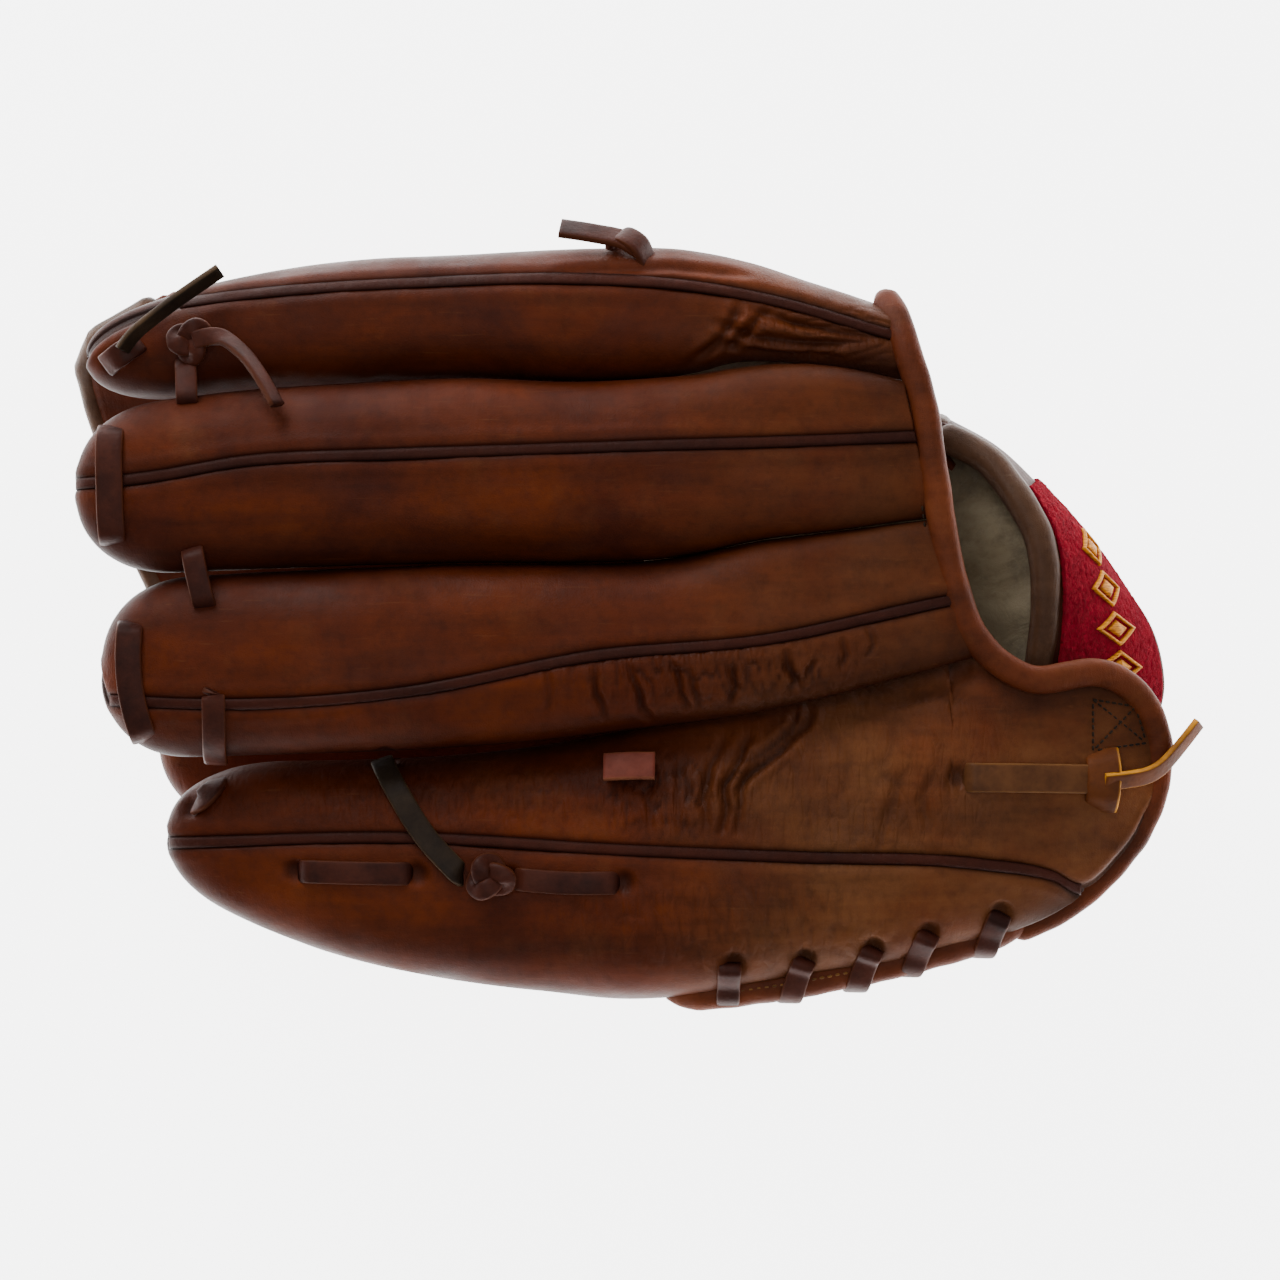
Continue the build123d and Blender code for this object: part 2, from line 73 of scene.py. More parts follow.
# Stalls, a row for each section: x, y_low, y_high, z_low, z_high, squareness
STALLS = {
    "index": {
        "tip": -147.5, "round": 30,
        "rows": (
            (-148, 61.5, 88, 52, 73, 2.2), (-128, 63, 91.5, 52, 74.5, 2.2), (-108, 65.5, 96.5, 51, 77, 2.2),
            (-80, 67.6, 101.2, 50, 79, 2.3), (-45, 69.1, 103.2, 50, 80.5, 2.3),
            (-10, 68.2, 104.8, 50, 82, 2.4),
            (18, 69.5, 104.4, 50, 82.5, 2.5), (35, 72.3, 101, 50, 82.5, 2.6), (52, 71.5, 95.5, 51, 82, 2.8),
            (70, 68.6, 89.6, 52, 80, 3.0), (90, 65, 82, 52, 76, 3.0),
        ),
        "seam": ((-150, 85.5), (-107, 91.5), (-80, 93.8), (-60, 94.8), (-17, 96), (21, 93.6), (38, 90.6),
                 (72, 81.2), (95, 75)),
    },
    "middle": {
        "tip": -149.5, "round": 27,
        "rows": (
            (-150, 16, 61.5, 64, 86, 2.4), (-128, 15.6, 62.8, 63, 88, 2.4), (-108, 16.4, 65, 62, 89.5, 2.4),
            (-80, 17.4, 67, 61, 91, 2.4), (-45, 18.4, 68.8, 60, 92, 2.4), (-10, 18.6, 68.0, 58, 92.5, 2.5),
            (18, 20.4, 69.6, 60, 92, 2.8), (38, 24.6, 72.4, 66, 90.5, 3.0), (60, 27.4, 71.6, 69, 88, 3.2),
            (82, 30.2, 66.8, 70, 84, 3.4), (100, 32, 62, 68, 80, 3.4),
        ),
        "seam": ((-155, 39.5), (-133, 41), (-101.6, 46), (-60, 47.8), (5, 50), (50, 51.4), (79, 52.7),
                 (105, 54)),
    },
    "ring": {
        "tip": -142.5, "round": 25,
        "rows": (
            (-143, -34.5, 13, 62, 85, 2.4), (-122, -34.8, 14.4, 61, 87, 2.4),
            (-100, -34.2, 15.8, 60, 89, 2.4),
            (-60, -32.8, 17.4, 59.5, 91, 2.4), (-25, -30.4, 18.2, 58.5, 91.5, 2.5),
            (0, -27.4, 18.3, 57, 91.5, 2.6),
            (20, -25, 20.8, 58, 91, 2.8), (38, -22.2, 24.4, 65, 90, 3.0), (60, -17.2, 27.2, 68, 88, 3.2),
            (85, -10.6, 30.4, 70, 85, 3.4), (105, -5, 33, 68, 80, 3.4),
        ),
        "seam": ((-150, -18.6), (-120, -20), (-104, -20.2), (-60, -17), (-6, -6.8), (38, -2.7), (87, 7.6),
                 (110, 12)),
    },
    "pinky": {
        "tip": -125.5, "round": 34,
        "rows": (
            (-126, -76, -36.6, 48, 71, 2.3), (-104, -80.8, -36.2, 47, 73.5, 2.3),
            (-80, -89, -35.8, 46, 76, 2.3),
            (-50, -95.8, -34.6, 45, 78.5, 2.4), (-20, -99.6, -31.4, 43, 80.5, 2.4),
            (0, -101.6, -27.6, 42, 81.5, 2.5),
            (20, -100.6, -23.6, 41, 81.5, 2.5), (45, -96.6, -18.8, 40, 81.5, 2.6),
            (70, -92.6, -13.6, 40, 81.5, 2.6),
            (90, -87.6, -7.4, 40, 81.2, 2.8), (105, -84.5, 2, 40, 79.6, 2.8), (125, -80, 6, 42, 74.5, 2.8),
            (140, -75, 6, 44, 69, 2.8), (156, -66, 6, 46, 62, 2.8),
        ),
        "seam": ((-130, -58.7), (-60, -56.8), (0, -60), (48, -62), (98, -64), (118, -67.4), (127, -71),
                 (135.4, -64),
                 (143.1, -53), (146.6, -43.6), (147.8, -34)),
    },
}
THUMB = {
    "tip": -131, "round": 30,
    "rows": (
        (-132, -54, -8, 0.2, 24, 2.8), (-104, -57, -5, 0.2, 25.5, 2.8), (-75, -62, -1, 0.2, 28, 2.8),
        (-45, -64.5, 2.2, 0.2, 29.5, 2.8), (-10, -66, 3.6, 0.2, 30.5, 2.8), (20, -66.4, 4, 0.2, 30.5, 2.8),
        (60, -64.5, 2.5, 0.2, 30.5, 2.8), (102, -58.5, -5.5, 0.2, 28.5, 2.6),
    ),
    "seam": ((-140, -31), (0, -31), (110, -32)),
}

# The edge of the back opening, and the outline of the flap on the little-finger side: x, y
BACK_EDGE = ((72, 92), (75, 80), (77.5, 64), (82.5, 41), (87.5, 22), (91.5, 8), (99, -4.5))
FLAP_TOP = ((90, -9.2), (99, -4.5), (105, -10.2), (110.6, -13.2), (119.8, -13.4), (130, -12.6),
            (138.6, -16.2),
            (144.6, -23.6), (147.8, -33))
FLAP_FOOT = ((98, -86), (106, -83.2), (124.5, -73.8), (136, -62.6), (143, -51.6), (146.6, -43), (147.8, -33))

# Leather between two bodies: the bodies, then where the bend starts and ends, in metres; such a piece is
# fixed where it is, in neither body.
PINKY_BEND = ("hand", "pinky", (0.040, 0, 0), (0.002, 0, 0))
THUMB_BEND = ("hand", "thumb", (0, 0.098, 0.052), (0, 0.093, 0.038))

# Centre lines of the rolled edges: x, y and height above the floor
BACK_ROLL = ((71, 93, 68), (74.5, 86.5, 74), (78, 76, 78.5), (81.8, 62.8, 81), (85.5, 41, 82),
             (89.3, 17.3, 82),
             (95.9, -0.9, 80.5), (103.5, -9.2, 78.5), (112.3, -13.4, 77), (121, -12.8, 75),
             (129.5, -11.6, 72.5),
             (139.2, -15.5, 69), (145.4, -23.7, 66), (147.8, -34, 64), (146.6, -43.6, 63),
             (143.1, -53.2, 62.5),
             (135.4, -64.4, 62), (123.4, -75.2, 61.5), (106, -83.6, 61.5))
HEEL_ROLL = ((112, -80.6, 63), (103, -83.4, 64.5), (94, -86.2, 65), (80.5, -90, 65), (62, -94.2, 65),
             (45, -97.4, 64.5), (31, -99.4, 64), (20, -100.4, 63), (12, -101, 61.5))
STRAP_TOP = ((112, -26, 60), (114.4, -12, 64), (115.9, -1, 66.5), (116.4, 11.8, 68), (115, 23.7, 67),
             (109.6, 35.5, 63.5), (101.4, 46.4, 58), (87, 55, 52))
STRAP_FOOT = ((147, -26, 44), (149, -14, 44), (145.5, 0, 44), (136.5, 13, 43), (125.5, 26, 40), (111, 38, 37),
              (99, 46, 34), (86, 53, 33))
STRAP_BULGE = 3.5
PATCH_AREA = (0.06, 0.73, 0.08, 0.965)      # along the strap from and to, across it from and to
LOZENGES = (0.2, 0.31, 0.42, 0.53)      # their middles along the strap
LOZENGE_MIDDLE = 0.56
LOZENGE_HALF = (0.05, 0.21)
LOZENGE_STEPS = 48
LOZENGE_LEVELS = 7
THREAD_LIFT = 4.0
RING_COUNT = 50
STRAP_END_COUNT = 40
LINING_COUNT = 40
UP_SMOOTHING = 9
SLOPE_STEP = 0.8
PATCH_COUNTS = (150, 70)

# Laces on the back: x, y, and how far above the leather
STRAP_LACES = (
    ("middle_tip_lace", ((-139.4, 55, 0), (-139.6, 47, 0), (-139.4, 39, 0), (-139.2, 31, 0),
    (-138.8, 24, 0)), 7.4),
    ("ring_tip_lace", ((-134, 1.6, 0), (-134.4, -6, 0), (-134, -14, 0), (-132.6, -22, 0),
    (-130.4, -29.6, 0)), 7.2),
    ("index_middle_lace", ((-119.4, 74, 0), (-119, 69, 0), (-118.6, 62, 0)), 6.0),
    ("middle_ring_lace", ((-117, 22, 0), (-115.6, 15, 0), (-113.5, 6.5, 0)), 6.2),
    ("ring_pinky_lace", ((-111, -16.7, 0), (-111, -26, 0), (-111.2, -36, 0)), 6.4),
)
PINKY_TIP_LACE = ((-111.2, -41.6, 0), (-113, -44, 0), (-116.8, -48, 0))
PINKY_LOOP_LACES = (((-88, -66, 0), (-74, -66.4, 0), (-58, -66.6, 0)), ((-29, -68, 0), (-15, -69, 0),
                    (-1.4, -69, 0)))
PINKY_CROSS_LACE = ((-66, -36, 0), (-61, -45, 0), (-54, -56, 0), (-44, -67, 0))
CROTCH_LACE = ((9, -37, 1.5), (3, -37, 1.5), (-5, -37.4, 1.5))
WRIST_LACE = ((93.6, -40.2, 0), (110, -40.4, 0), (130.6, -40.8, 0))
WEB_LACE_END = ((6, 103.5, 77), (1, 106.5, 76.5), (-8, 108.6, 76), (-17, 110, 75.5))
WEB_LACE_LOOP = ((7, 101, 76), (4.5, 105.5, 78), (0, 108, 76), (-2, 106, 72), (0, 101, 70))
KNOTS = (("index_knot_side", -118, 79, 5.2, 1.3), ("pinky_loop_knot", -36, -67.5, 5.6, 0.2))
FOLDED_KNOTS = (
    ("index_knot_tip", ((-141.2, 72.6, -1.5), (-138.8, 74.4, 1.6), (-135.6, 76.6, 2.4),
    (-132.6, 79, -0.5)), 6.6),
    ("wrist_knot", ((131.4, -33.4, -1.5), (131.8, -36.6, 1.8), (132, -41, 2.6), (131.6, -45.4, 1.8),
    (131, -48.6, -1.5)), 9.4),
)
# Each crossing: x and y of its middle, and how far it leans
HEEL_CROSSINGS = ((29.2, -97.6, 0.2), (47.6, -96.4, 1.6), (66, -93.4, 1.8), (81, -89.2, 2), (101, -84, 1.8))
# Down the outside of the heel: share of the lean, how far out of the middle, height
CROSSING_SIDE = ((0, 0.6, 70), (0.5, 3.4, 68.4), (1, 5.4, 63.5), (1.2, 4.6, 58), (1.2, 1, 54))
# Where laces go into the leather: x, y
HOLES = ((-89.6, -66), (-56, -66.6), (-30.6, -68), (0.4, -69), (91.6, -40.2), (-64.6, -35), (-118.6, -48.4),
         (-139.2, 73.8), (31, -91.4), (50.4, -90.4), (69, -87.2), (84, -83), (104, -77.6))
HOLE_HALF = 2.9
HOLE_DEEP = 1.7

# Free lace tails in metres, from inside their knots along the routes of the CAD model
# Each free end: its material, how far it twists, and the way its flat side faces
TAIL_LOOKS = {
    "index_tail_long": ("dark_lace", 0.2, (0.6, -0.5, 0.6)),
    "index_tail_curved": ("rawhide_lace", 0.5, (0.5, 0.2, 0.8)),
    "wrist_tail": ("golden_lace", 1.2, (0.1, -0.5, 0.8)),
}
TAIL_ROUTES = {
    "index_tail_long": ((-0.1365, 0.0765, 0.0785), (-0.134, 0.0805, 0.079), (-0.128, 0.085, 0.0815),
                        (-0.120, 0.091, 0.083), (-0.1095, 0.098, 0.083)),
    "index_tail_curved": ((-0.117, 0.079, 0.081), (-0.1108, 0.081, 0.082), (-0.105, 0.0775, 0.085),
                          (-0.099, 0.071, 0.089), (-0.0935, 0.061, 0.0925)),
    "wrist_tail": ((0.132, -0.0415, 0.0765), (0.139, -0.041, 0.0745), (0.146, -0.0395, 0.071),
                   (0.1515, -0.0345, 0.0685), (0.1585, -0.0255, 0.067)),
}

# Palm of the hand half: x and y of its two sides, x and height of its rim, and its lowest leather
PALM_LOW = ((6, -60), (70, -66), (100, -74), (118, -70), (131, -58), (139, -42))
PALM_HIGH = ((6, 88), (40, 90), (64, 84), (74, 70), (82, 58), (92, 45), (106, 26), (118, 10), (128, -6),
             (139, -24))
PALM_RIMS = ((6, 56), (55, 56), (85, 50), (139, 48))
PALM_FLOOR = 41.5
PALM_SQUARE = 3.2
PALM_COUNTS = (90, 70)

# Thumb-side palm and web, in the order of the CAD model: y, z of their middle line, then outlines in plan
SHEET_LINE = ((4.6, 7), (20, 3.6), (42, 3.6), (66, 14), (84, 31), (91, 43.5))
SHEET_PALM_X = (-20, 66)
SHEET_WRIST_END = ((4.6, 60, 80, 91), (66, 66, 60, 46))     # y, and x where the palm ends
EDGE_HALF = 3.2         # half the thickness of a bound edge
THUMB_END = 102
FOLD_PROFILE = ((98, 57), (100.5, 52), (99.5, 46), (95, 40.5), (88, 33))
FOLD_X = (-20, 46)
WEB_WRIST_X = -24
WEB_TIP_LINE = ((4.6, -127), (25, -137), (50, -144), (64, -148), (74, -150), (82, -146), (91, -128))

# ---------------------------------------------------------------- camera, light and floor
VIEW_WIDTH = 0.3494             # what the camera sees across, at the height of the glove's back
VIEW_MIDDLE = (0.0049, -0.0027)
VIEW_HEIGHT = 0.080
CAMERA_RISE = 1.9
# Area lights: place and size in metres, power in watts
LIGHTS = (("key_light", (-0.45, 1.05, 0.62), 0.6, 11), ("fill_light", (0.7, -0.5, 0.9), 0.9, 1),
          ("top_light", (0.0, 0.1, 1.5), 1.0, 5))
SKY_STRENGTH = 0.28
FLOOR_GLOW = 5.5


def make_stage():
    """Long-lens camera looking straight down, soft light from the index side, and a glowing white floor."""
    camera = bpy.data.cameras.new("camera")
    camera.lens_unit = "FOV"
    camera.angle = 2 * math.atan(VIEW_WIDTH / 2 / CAMERA_RISE)
    seat = bpy.data.objects.new("camera", camera)
    seat.location = (*VIEW_MIDDLE, VIEW_HEIGHT + CAMERA_RISE)
    bpy.context.scene.collection.objects.link(seat)
    bpy.context.scene.camera = seat
    for name, place, size, power in LIGHTS:
        lamp = bpy.data.lights.new(name, "AREA")
        lamp.size = size
        lamp.energy = power
        holder = bpy.data.objects.new(name, lamp)
        holder.location = place
        holder.rotation_euler = (Vector((0, 0, 0.05)) - Vector(place)).to_track_quat("-Z", "Y").to_euler()
        bpy.context.scene.collection.objects.link(holder)
    world = bpy.data.worlds.new("studio")
    world.use_nodes = True
    world.node_tree.nodes["Background"].inputs["Color"].default_value = (1, 1, 1, 1)
    world.node_tree.nodes["Background"].inputs["Strength"].default_value = SKY_STRENGTH
    bpy.context.scene.world = world
    bpy.ops.mesh.primitive_plane_add(size=8)
    floor = bpy.context.object
    floor.name = "floor"
    floor.data.materials.append(floor_material())


# ---------------------------------------------------------------- materials
class Shade:
    """A material's node tree, with one short call for each kind of node."""

    def __init__(self, name, roughness, **surface):
        self.material = bpy.data.materials.new(name)
        self.material.use_nodes = True
        self.tree = self.material.node_tree
        self.shader = self.tree.nodes["Principled BSDF"]
        self.shader.inputs["Roughness"].default_value = roughness
        for socket, value in surface.items():
            self.shader.inputs[socket.replace("_", " ")].default_value = value
        place = self.tree.nodes.new("ShaderNodeTexCoord")
        self.place = place.outputs["Object"]

    def link(self, value, socket):
        if isinstance(value, bpy.types.NodeSocket):
            self.tree.links.new(value, socket)
        else:
            socket.default_value = value

    def stretched(self, x, y, z):
        node = self.tree.nodes.new("ShaderNodeMapping")
        node.inputs["Scale"].default_value = (x, y, z)
        self.tree.links.new(self.place, node.inputs["Vector"])
        return node.outputs["Vector"]

    def noise(self, scale, detail=4, rough=0.55, where=None, warp=0.0):
        node = self.tree.nodes.new("ShaderNodeTexNoise")
        node.inputs["Scale"].default_value = scale
        node.inputs["Detail"].default_value = detail
        node.inputs["Roughness"].default_value = rough
        node.inputs["Distortion"].default_value = warp
        self.tree.links.new(where or self.place, node.inputs["Vector"])
        return node.outputs["Fac"]

    def cells(self, scale, where=None, feature="DISTANCE_TO_EDGE"):
        node = self.tree.nodes.new("ShaderNodeTexVoronoi")
        node.feature = feature
        node.inputs["Scale"].default_value = scale
        self.tree.links.new(where or self.place, node.inputs["Vector"])
        return node.outputs["Distance"]

    def attribute(self, name):
        node = self.tree.nodes.new("ShaderNodeAttribute")
        node.attribute_name = name
        return node.outputs["Fac"]

    def ramp(self, value, low, high, to_low=0.0, to_high=1.0):
        node = self.tree.nodes.new("ShaderNodeMapRange")
        for socket, number in zip(("From Min", "From Max", "To Min", "To Max"), (low, high, to_low, to_high)):
            node.inputs[socket].default_value = number
        self.tree.links.new(value, node.inputs["Value"])
        return node.outputs["Result"]

    def math(self, operation, a, b):
        node = self.tree.nodes.new("ShaderNodeMath")
        node.operation = operation
        self.link(a, node.inputs[0])
        self.link(b, node.inputs[1])
        return node.outputs["Value"]

    def mix(self, amount, a, b, mode="MIX"):
        node = self.tree.nodes.new("ShaderNodeMix")
        node.data_type = "RGBA"
        node.blend_type = mode
        self.link(amount, node.inputs["Factor"])
        self.link(a, node.inputs[6])
        self.link(b, node.inputs[7])
        return node.outputs[2]

    def bump(self, height, strength, distance, below=None):
        node = self.tree.nodes.new("ShaderNodeBump")
        node.inputs["Strength"].default_value = strength
        node.inputs["Distance"].default_value = distance
        self.tree.links.new(height, node.inputs["Height"])
        if below:
            self.tree.links.new(below, node.inputs["Normal"])
        return node.outputs["Normal"]

    def done(self, colour, roughness=None, normal=None):
        self.tree.links.new(colour, self.shader.inputs["Base Color"])
        if roughness:
            self.tree.links.new(roughness, self.shader.inputs["Roughness"])
        if normal:
            self.tree.links.new(normal, self.shader.inputs["Normal"])
        return self.material


def srgb(red, green, blue):
    """A screen colour, 0 to 255, as the linear colour that shaders take."""
    def linear(value):
        value = value / 255
        return value / 12.92 if value <= 0.04045 else ((value + 0.055) / 1.055) ** 2.4
    return (linear(red), linear(green), linear(blue), 1)


def leather(name, deep_and_shade, main, bright, worn_and_lit, roughness=0.52, grain=1.0):
    """Oiled steerhide: blotches, streaks along the fingers, dark seams, rubbed spots, pores, creases, with
    painted shade in seams, valleys, creases and lace holes, and painted highlights on ridges and on the tops
    of rolled edges.
    """
    s = Shade(name, roughness, Specular_IOR_Level=0.12)
    blotch = s.noise(22, 6, 0.6, warp=0.4)
    streak = s.noise(1, 5, 0.6, where=s.stretched(9, 75, 60))
    mottle = s.noise(260, 5, 0.65)
    colour = s.mix(s.ramp(blotch, 0.36, 0.7), main, bright)
    rubbed = s.math("MULTIPLY", s.attribute("heel"), s.ramp(s.noise(26, 6, 0.65), 0.32, 0.62, 0.2, 0.8))
    colour = s.mix(rubbed, colour, worn_and_lit)
    colour = s.mix(s.ramp(streak, 0.42, 0.75, 0, 0.55), colour, deep_and_shade)
    colour = s.mix(s.ramp(mottle, 0.45, 0.8, 0, 0.35), colour, deep_and_shade)
    # Paler in patches where a piece marks wear: real wear, and painted highlights on ridges and on the upper
    # side of rolled edges.
    pale_wear_and_highlight = s.math("MULTIPLY", s.ramp(s.noise(48, 6, 0.7), 0.54, 0.8, 0, 0.4), s.attribute("wear"))
    colour = s.mix(pale_wear_and_highlight, colour, worn_and_lit)
    # Darkened towards the darkest colour by each point's dirt and painted shade: painted shade in seams,
    # valleys between stalls, creases, lace holes and under rolled edges.
    colour = s.mix(s.math("MULTIPLY", s.attribute("dirt"), 0.88), colour, deep_and_shade)
    scratch = s.noise(1, 3, 0.5, where=s.stretched(60, 900, 700))
    colour = s.mix(s.ramp(scratch, 0.66, 0.8, 0, 0.22), colour, worn_and_lit)
    pores = s.cells(1500 / grain)
    wrinkle = s.cells(1, where=s.stretched(420 / grain, 130 / grain, 260 / grain))
    fine = s.math("MULTIPLY", s.ramp(wrinkle, 0.0, 0.22), s.attribute("crinkle"))
    normal = s.bump(s.ramp(pores, 0.0, 0.35), 0.32, 0.00012)
    normal = s.bump(fine, 0.4, 0.0004, normal)
    normal = s.bump(mottle, 0.2, 0.0004, normal)
    shine = s.ramp(s.noise(45, 4, 0.6), 0.35, 0.7, roughness - 0.09, roughness + 0.13)
    return s.done(colour, shine, normal)


def rawhide(name, main, dark, cut):
    """Lace: a smooth face, blotched darker, with paler cut edges."""
    s = Shade(name, 0.55, Specular_IOR_Level=0.12)
    colour = s.mix(s.ramp(s.noise(70, 5, 0.6), 0.38, 0.66), main, dark)
    colour = s.mix(s.ramp(s.noise(500, 4, 0.6), 0.5, 0.8, 0, 0.4), colour, dark)
    pale_edge = s.math("MULTIPLY", s.attribute("edge"), s.ramp(s.noise(120, 4), 0.3, 0.62, 0.25, 1))
    colour = s.mix(pale_edge, colour, cut)
    fibres = s.noise(900, 4, 0.6)
    normal = s.bump(fibres, 0.35, 0.0003)
    normal = s.bump(s.cells(800), 0.2, 0.0002, normal)
    return s.done(colour, s.ramp(s.noise(90), 0.3, 0.7, 0.4, 0.62), normal)


def suede(name, main, dark, pale):
    """Brushed lining leather: napped, blotched with sweat and dirt, and darker where a piece paints shade
    onto it.
    """
    s = Shade(name, 0.9, Specular_IOR_Level=0.15, Sheen_Weight=0.25, Sheen_Roughness=0.6)
    colour = s.mix(s.ramp(s.noise(28, 6, 0.65, warp=0.6), 0.36, 0.66), main, pale)
    colour = s.mix(s.ramp(s.noise(75, 6, 0.7), 0.5, 0.78, 0, 0.8), colour, dark)
    # Darker by each point's dirt and painted shade, such as the painted shadow under the back's edge.
    colour = s.mix(s.attribute("dirt"), colour, dark)
    nap = s.noise(1900, 3, 0.7)
    normal = s.bump(nap, 0.5, 0.0003)
    normal = s.bump(s.noise(95, 5, 0.6, warp=1.0), 0.6, 0.0016, normal)
    return s.done(colour, None, normal)


def felt(name, main, dark):
    """Matted wool with loose fibres."""
    s = Shade(name, 0.95, Specular_IOR_Level=0.1, Sheen_Weight=0.45, Sheen_Roughness=0.4, Sheen_Tint=main)
    fibres = s.noise(1, 5, 0.75, where=s.stretched(1500, 620, 900), warp=1.6)
    colour = s.mix(s.ramp(fibres, 0.34, 0.7), main, dark)
    colour = s.mix(s.ramp(s.noise(140, 5, 0.7), 0.45, 0.75, 0, 0.6), colour, dark)
    return s.done(colour, None, s.bump(fibres, 1.0, 0.0012))


def thread(name, main, dark):
    """Satin-stitched thread."""
    s = Shade(name, 0.5, Specular_IOR_Level=0.2)
    twist = s.noise(1, 3, 0.6, where=s.stretched(300, 2400, 900))
    colour = s.mix(s.ramp(twist, 0.4, 0.65), main, dark)
    return s.done(colour, None, s.bump(twist, 0.7, 0.0004))


def plain_sheet(name, main, dark, roughness, scale):
    """Inner felt and plastic, seen only in gaps."""
    s = Shade(name, roughness)
    grain = s.noise(scale, 4, 0.6)
    return s.done(s.mix(grain, main, dark), None, s.bump(grain, 0.3, 0.0003))


def floor_material():
    s = Shade("pale_floor", 0.9, Specular_IOR_Level=0.1, Emission_Color=(1, 1, 1, 1),
              Emission_Strength=FLOOR_GLOW)
    return s.done(s.mix(s.noise(6, 3), srgb(250, 250, 250), srgb(246, 246, 246)))


def make_materials():
    # The darkest colour is that of streaks and mottling and also of painted shade; the worn colour is that of
    # rubbed leather and also of painted highlights.
    deep_and_shade = srgb(22, 7, 4)
    worn_and_lit = srgb(124, 76, 42)
    rolled = srgb(92, 41, 19), srgb(114, 55, 26), srgb(128, 76, 42)
    strap = srgb(76, 50, 34), srgb(96, 68, 50), srgb(118, 92, 70)
    welt = srgb(24, 9, 6), srgb(56, 22, 13), srgb(74, 31, 18), srgb(88, 44, 24)
    return {
        "shell_leather": leather("shell_leather", deep_and_shade, srgb(76, 27, 7), srgb(108, 44, 9), worn_and_lit),
        "binding_leather": leather("binding_leather", deep_and_shade, *rolled, 0.5, 0.8),
        "strap_leather": leather("strap_leather", deep_and_shade, *strap, 0.42, 0.7),
        "welt_leather": leather("welt_leather", *welt, 0.55),
        "rawhide_lace": rawhide("rawhide_lace", srgb(72, 33, 22), srgb(42, 18, 13), srgb(84, 42, 22)),
        "dark_lace": rawhide("dark_lace", srgb(50, 37, 26), srgb(28, 20, 15), srgb(70, 50, 30)),
        "tan_lace": rawhide("tan_lace", srgb(104, 64, 36), srgb(66, 38, 22), srgb(124, 82, 44)),
        "golden_lace": rawhide("golden_lace", srgb(104, 54, 22), srgb(70, 36, 18), srgb(214, 142, 30)),
        "red_lace": rawhide("red_lace", srgb(126, 62, 48), srgb(90, 42, 32), srgb(140, 84, 56)),
        "lining_suede": suede("lining_suede", srgb(98, 82, 58), srgb(34, 26, 18), srgb(142, 128, 102)),
        "patch_felt": felt("patch_felt", srgb(170, 10, 40), srgb(92, 5, 22)),
        "embroidery_thread": thread("embroidery_thread", srgb(226, 146, 8), srgb(150, 84, 6)),
        "stitch_thread": thread("stitch_thread", srgb(150, 100, 44), srgb(80, 50, 22)),
        "padding_felt": plain_sheet("padding_felt", srgb(196, 186, 164), srgb(160, 150, 130), 0.9, 800),
        "stiffener_plastic": plain_sheet("stiffener_plastic", srgb(206, 202, 190), srgb(190, 186, 174), 0.5,
                                         300),
    }


# ---------------------------------------------------------------- curves and surfaces
def through(rows, at):
    """Smooth values through rows of (x, value, ...), for each x in at: one column for each value."""
    rows = np.array(rows, float)
    x = rows[:, 0]
    at = np.clip(np.asarray(at, float), x[0], x[-1])
    i = np.clip(np.searchsorted(x, at) - 1, 0, len(x) - 2)
    gap = x[i + 1] - x[i]
    t = (at - x[i]) / gap
    slopes = np.gradient(rows[:, 1:], x, axis=0)
    h00, h10 = 2 * t ** 3 - 3 * t ** 2 + 1, t ** 3 - 2 * t ** 2 + t
    h01, h11 = 3 * t ** 2 - 2 * t ** 3, t ** 3 - t ** 2
    start, end = rows[i, 1:], rows[i + 1, 1:]
    weights = [w[:, None] for w in (h00, h10 * gap, h01, h11 * gap)]
    out = weights[0] * start + weights[1] * slopes[i] + weights[2] * end + weights[3] * slopes[i + 1]
    return [out[:, k] for k in range(out.shape[1])]


def along(points, step):
    """A smooth line through points, sampled about every step, with its lengths."""
    points = np.array(points, float)
    lengths = np.concatenate([[0], np.cumsum(np.linalg.norm(np.diff(points, axis=0), axis=1))])
    count = max(3, int(lengths[-1] / step) + 1)
    at = np.linspace(0, lengths[-1], count)
    if len(points) == 2:
        return np.array([np.interp(at, lengths, points[:, k]) for k in range(3)]).T, at
    return np.array(through(np.column_stack([lengths, points]), at)).T, at


def section_sizes(stall, x):
    """Middle, half sizes and squareness of a stall's section at each x."""
    y_low, y_high, z_low, z_high, square = through(stall["rows"], x)
    inside = np.clip((stall["tip"] + stall["round"] - x) / stall["round"], 0, 0.9999)
    size = (1 - inside ** TIP_ROUND) ** (1 / TIP_ROUND)
    half_z = (z_high - z_low) / 2 * size ** 0.55
    return (y_low + y_high) / 2, (y_high - y_low) / 2 * size, (z_low + z_high) / 2, half_z, square


def ring_point(phi, half_y, half_z, square):
    cos, sin = np.cos(phi), np.sin(phi)
    power = 2 / square
    return half_y * np.sign(cos) * np.abs(cos) ** power, half_z * np.sign(sin) * np.abs(sin) ** power


def angle_at(stall, x, y):
    """Where on the upper side of the section a given y lies, as an angle from +Y."""
    y_mid, half_y, z_mid, half_z, square = section_sizes(stall, x)
    part = np.clip((y - y_mid) / half_y, -1, 1)
    return np.arccos(np.sign(part) * np.abs(part) ** (square / 2))


def back_height(name, x, y):
    """The height of the glove's back over a point, from one stall."""
    stall = STALLS[name]
    x = np.atleast_1d(np.asarray(x, float))
    y_mid, half_y, z_mid, half_z, square = section_sizes(stall, x)
    part = np.clip(np.abs((np.asarray(y, float) - y_mid) / half_y), 0, 1)
    return z_mid + half_z * (1 - part ** square) ** (1 / square)


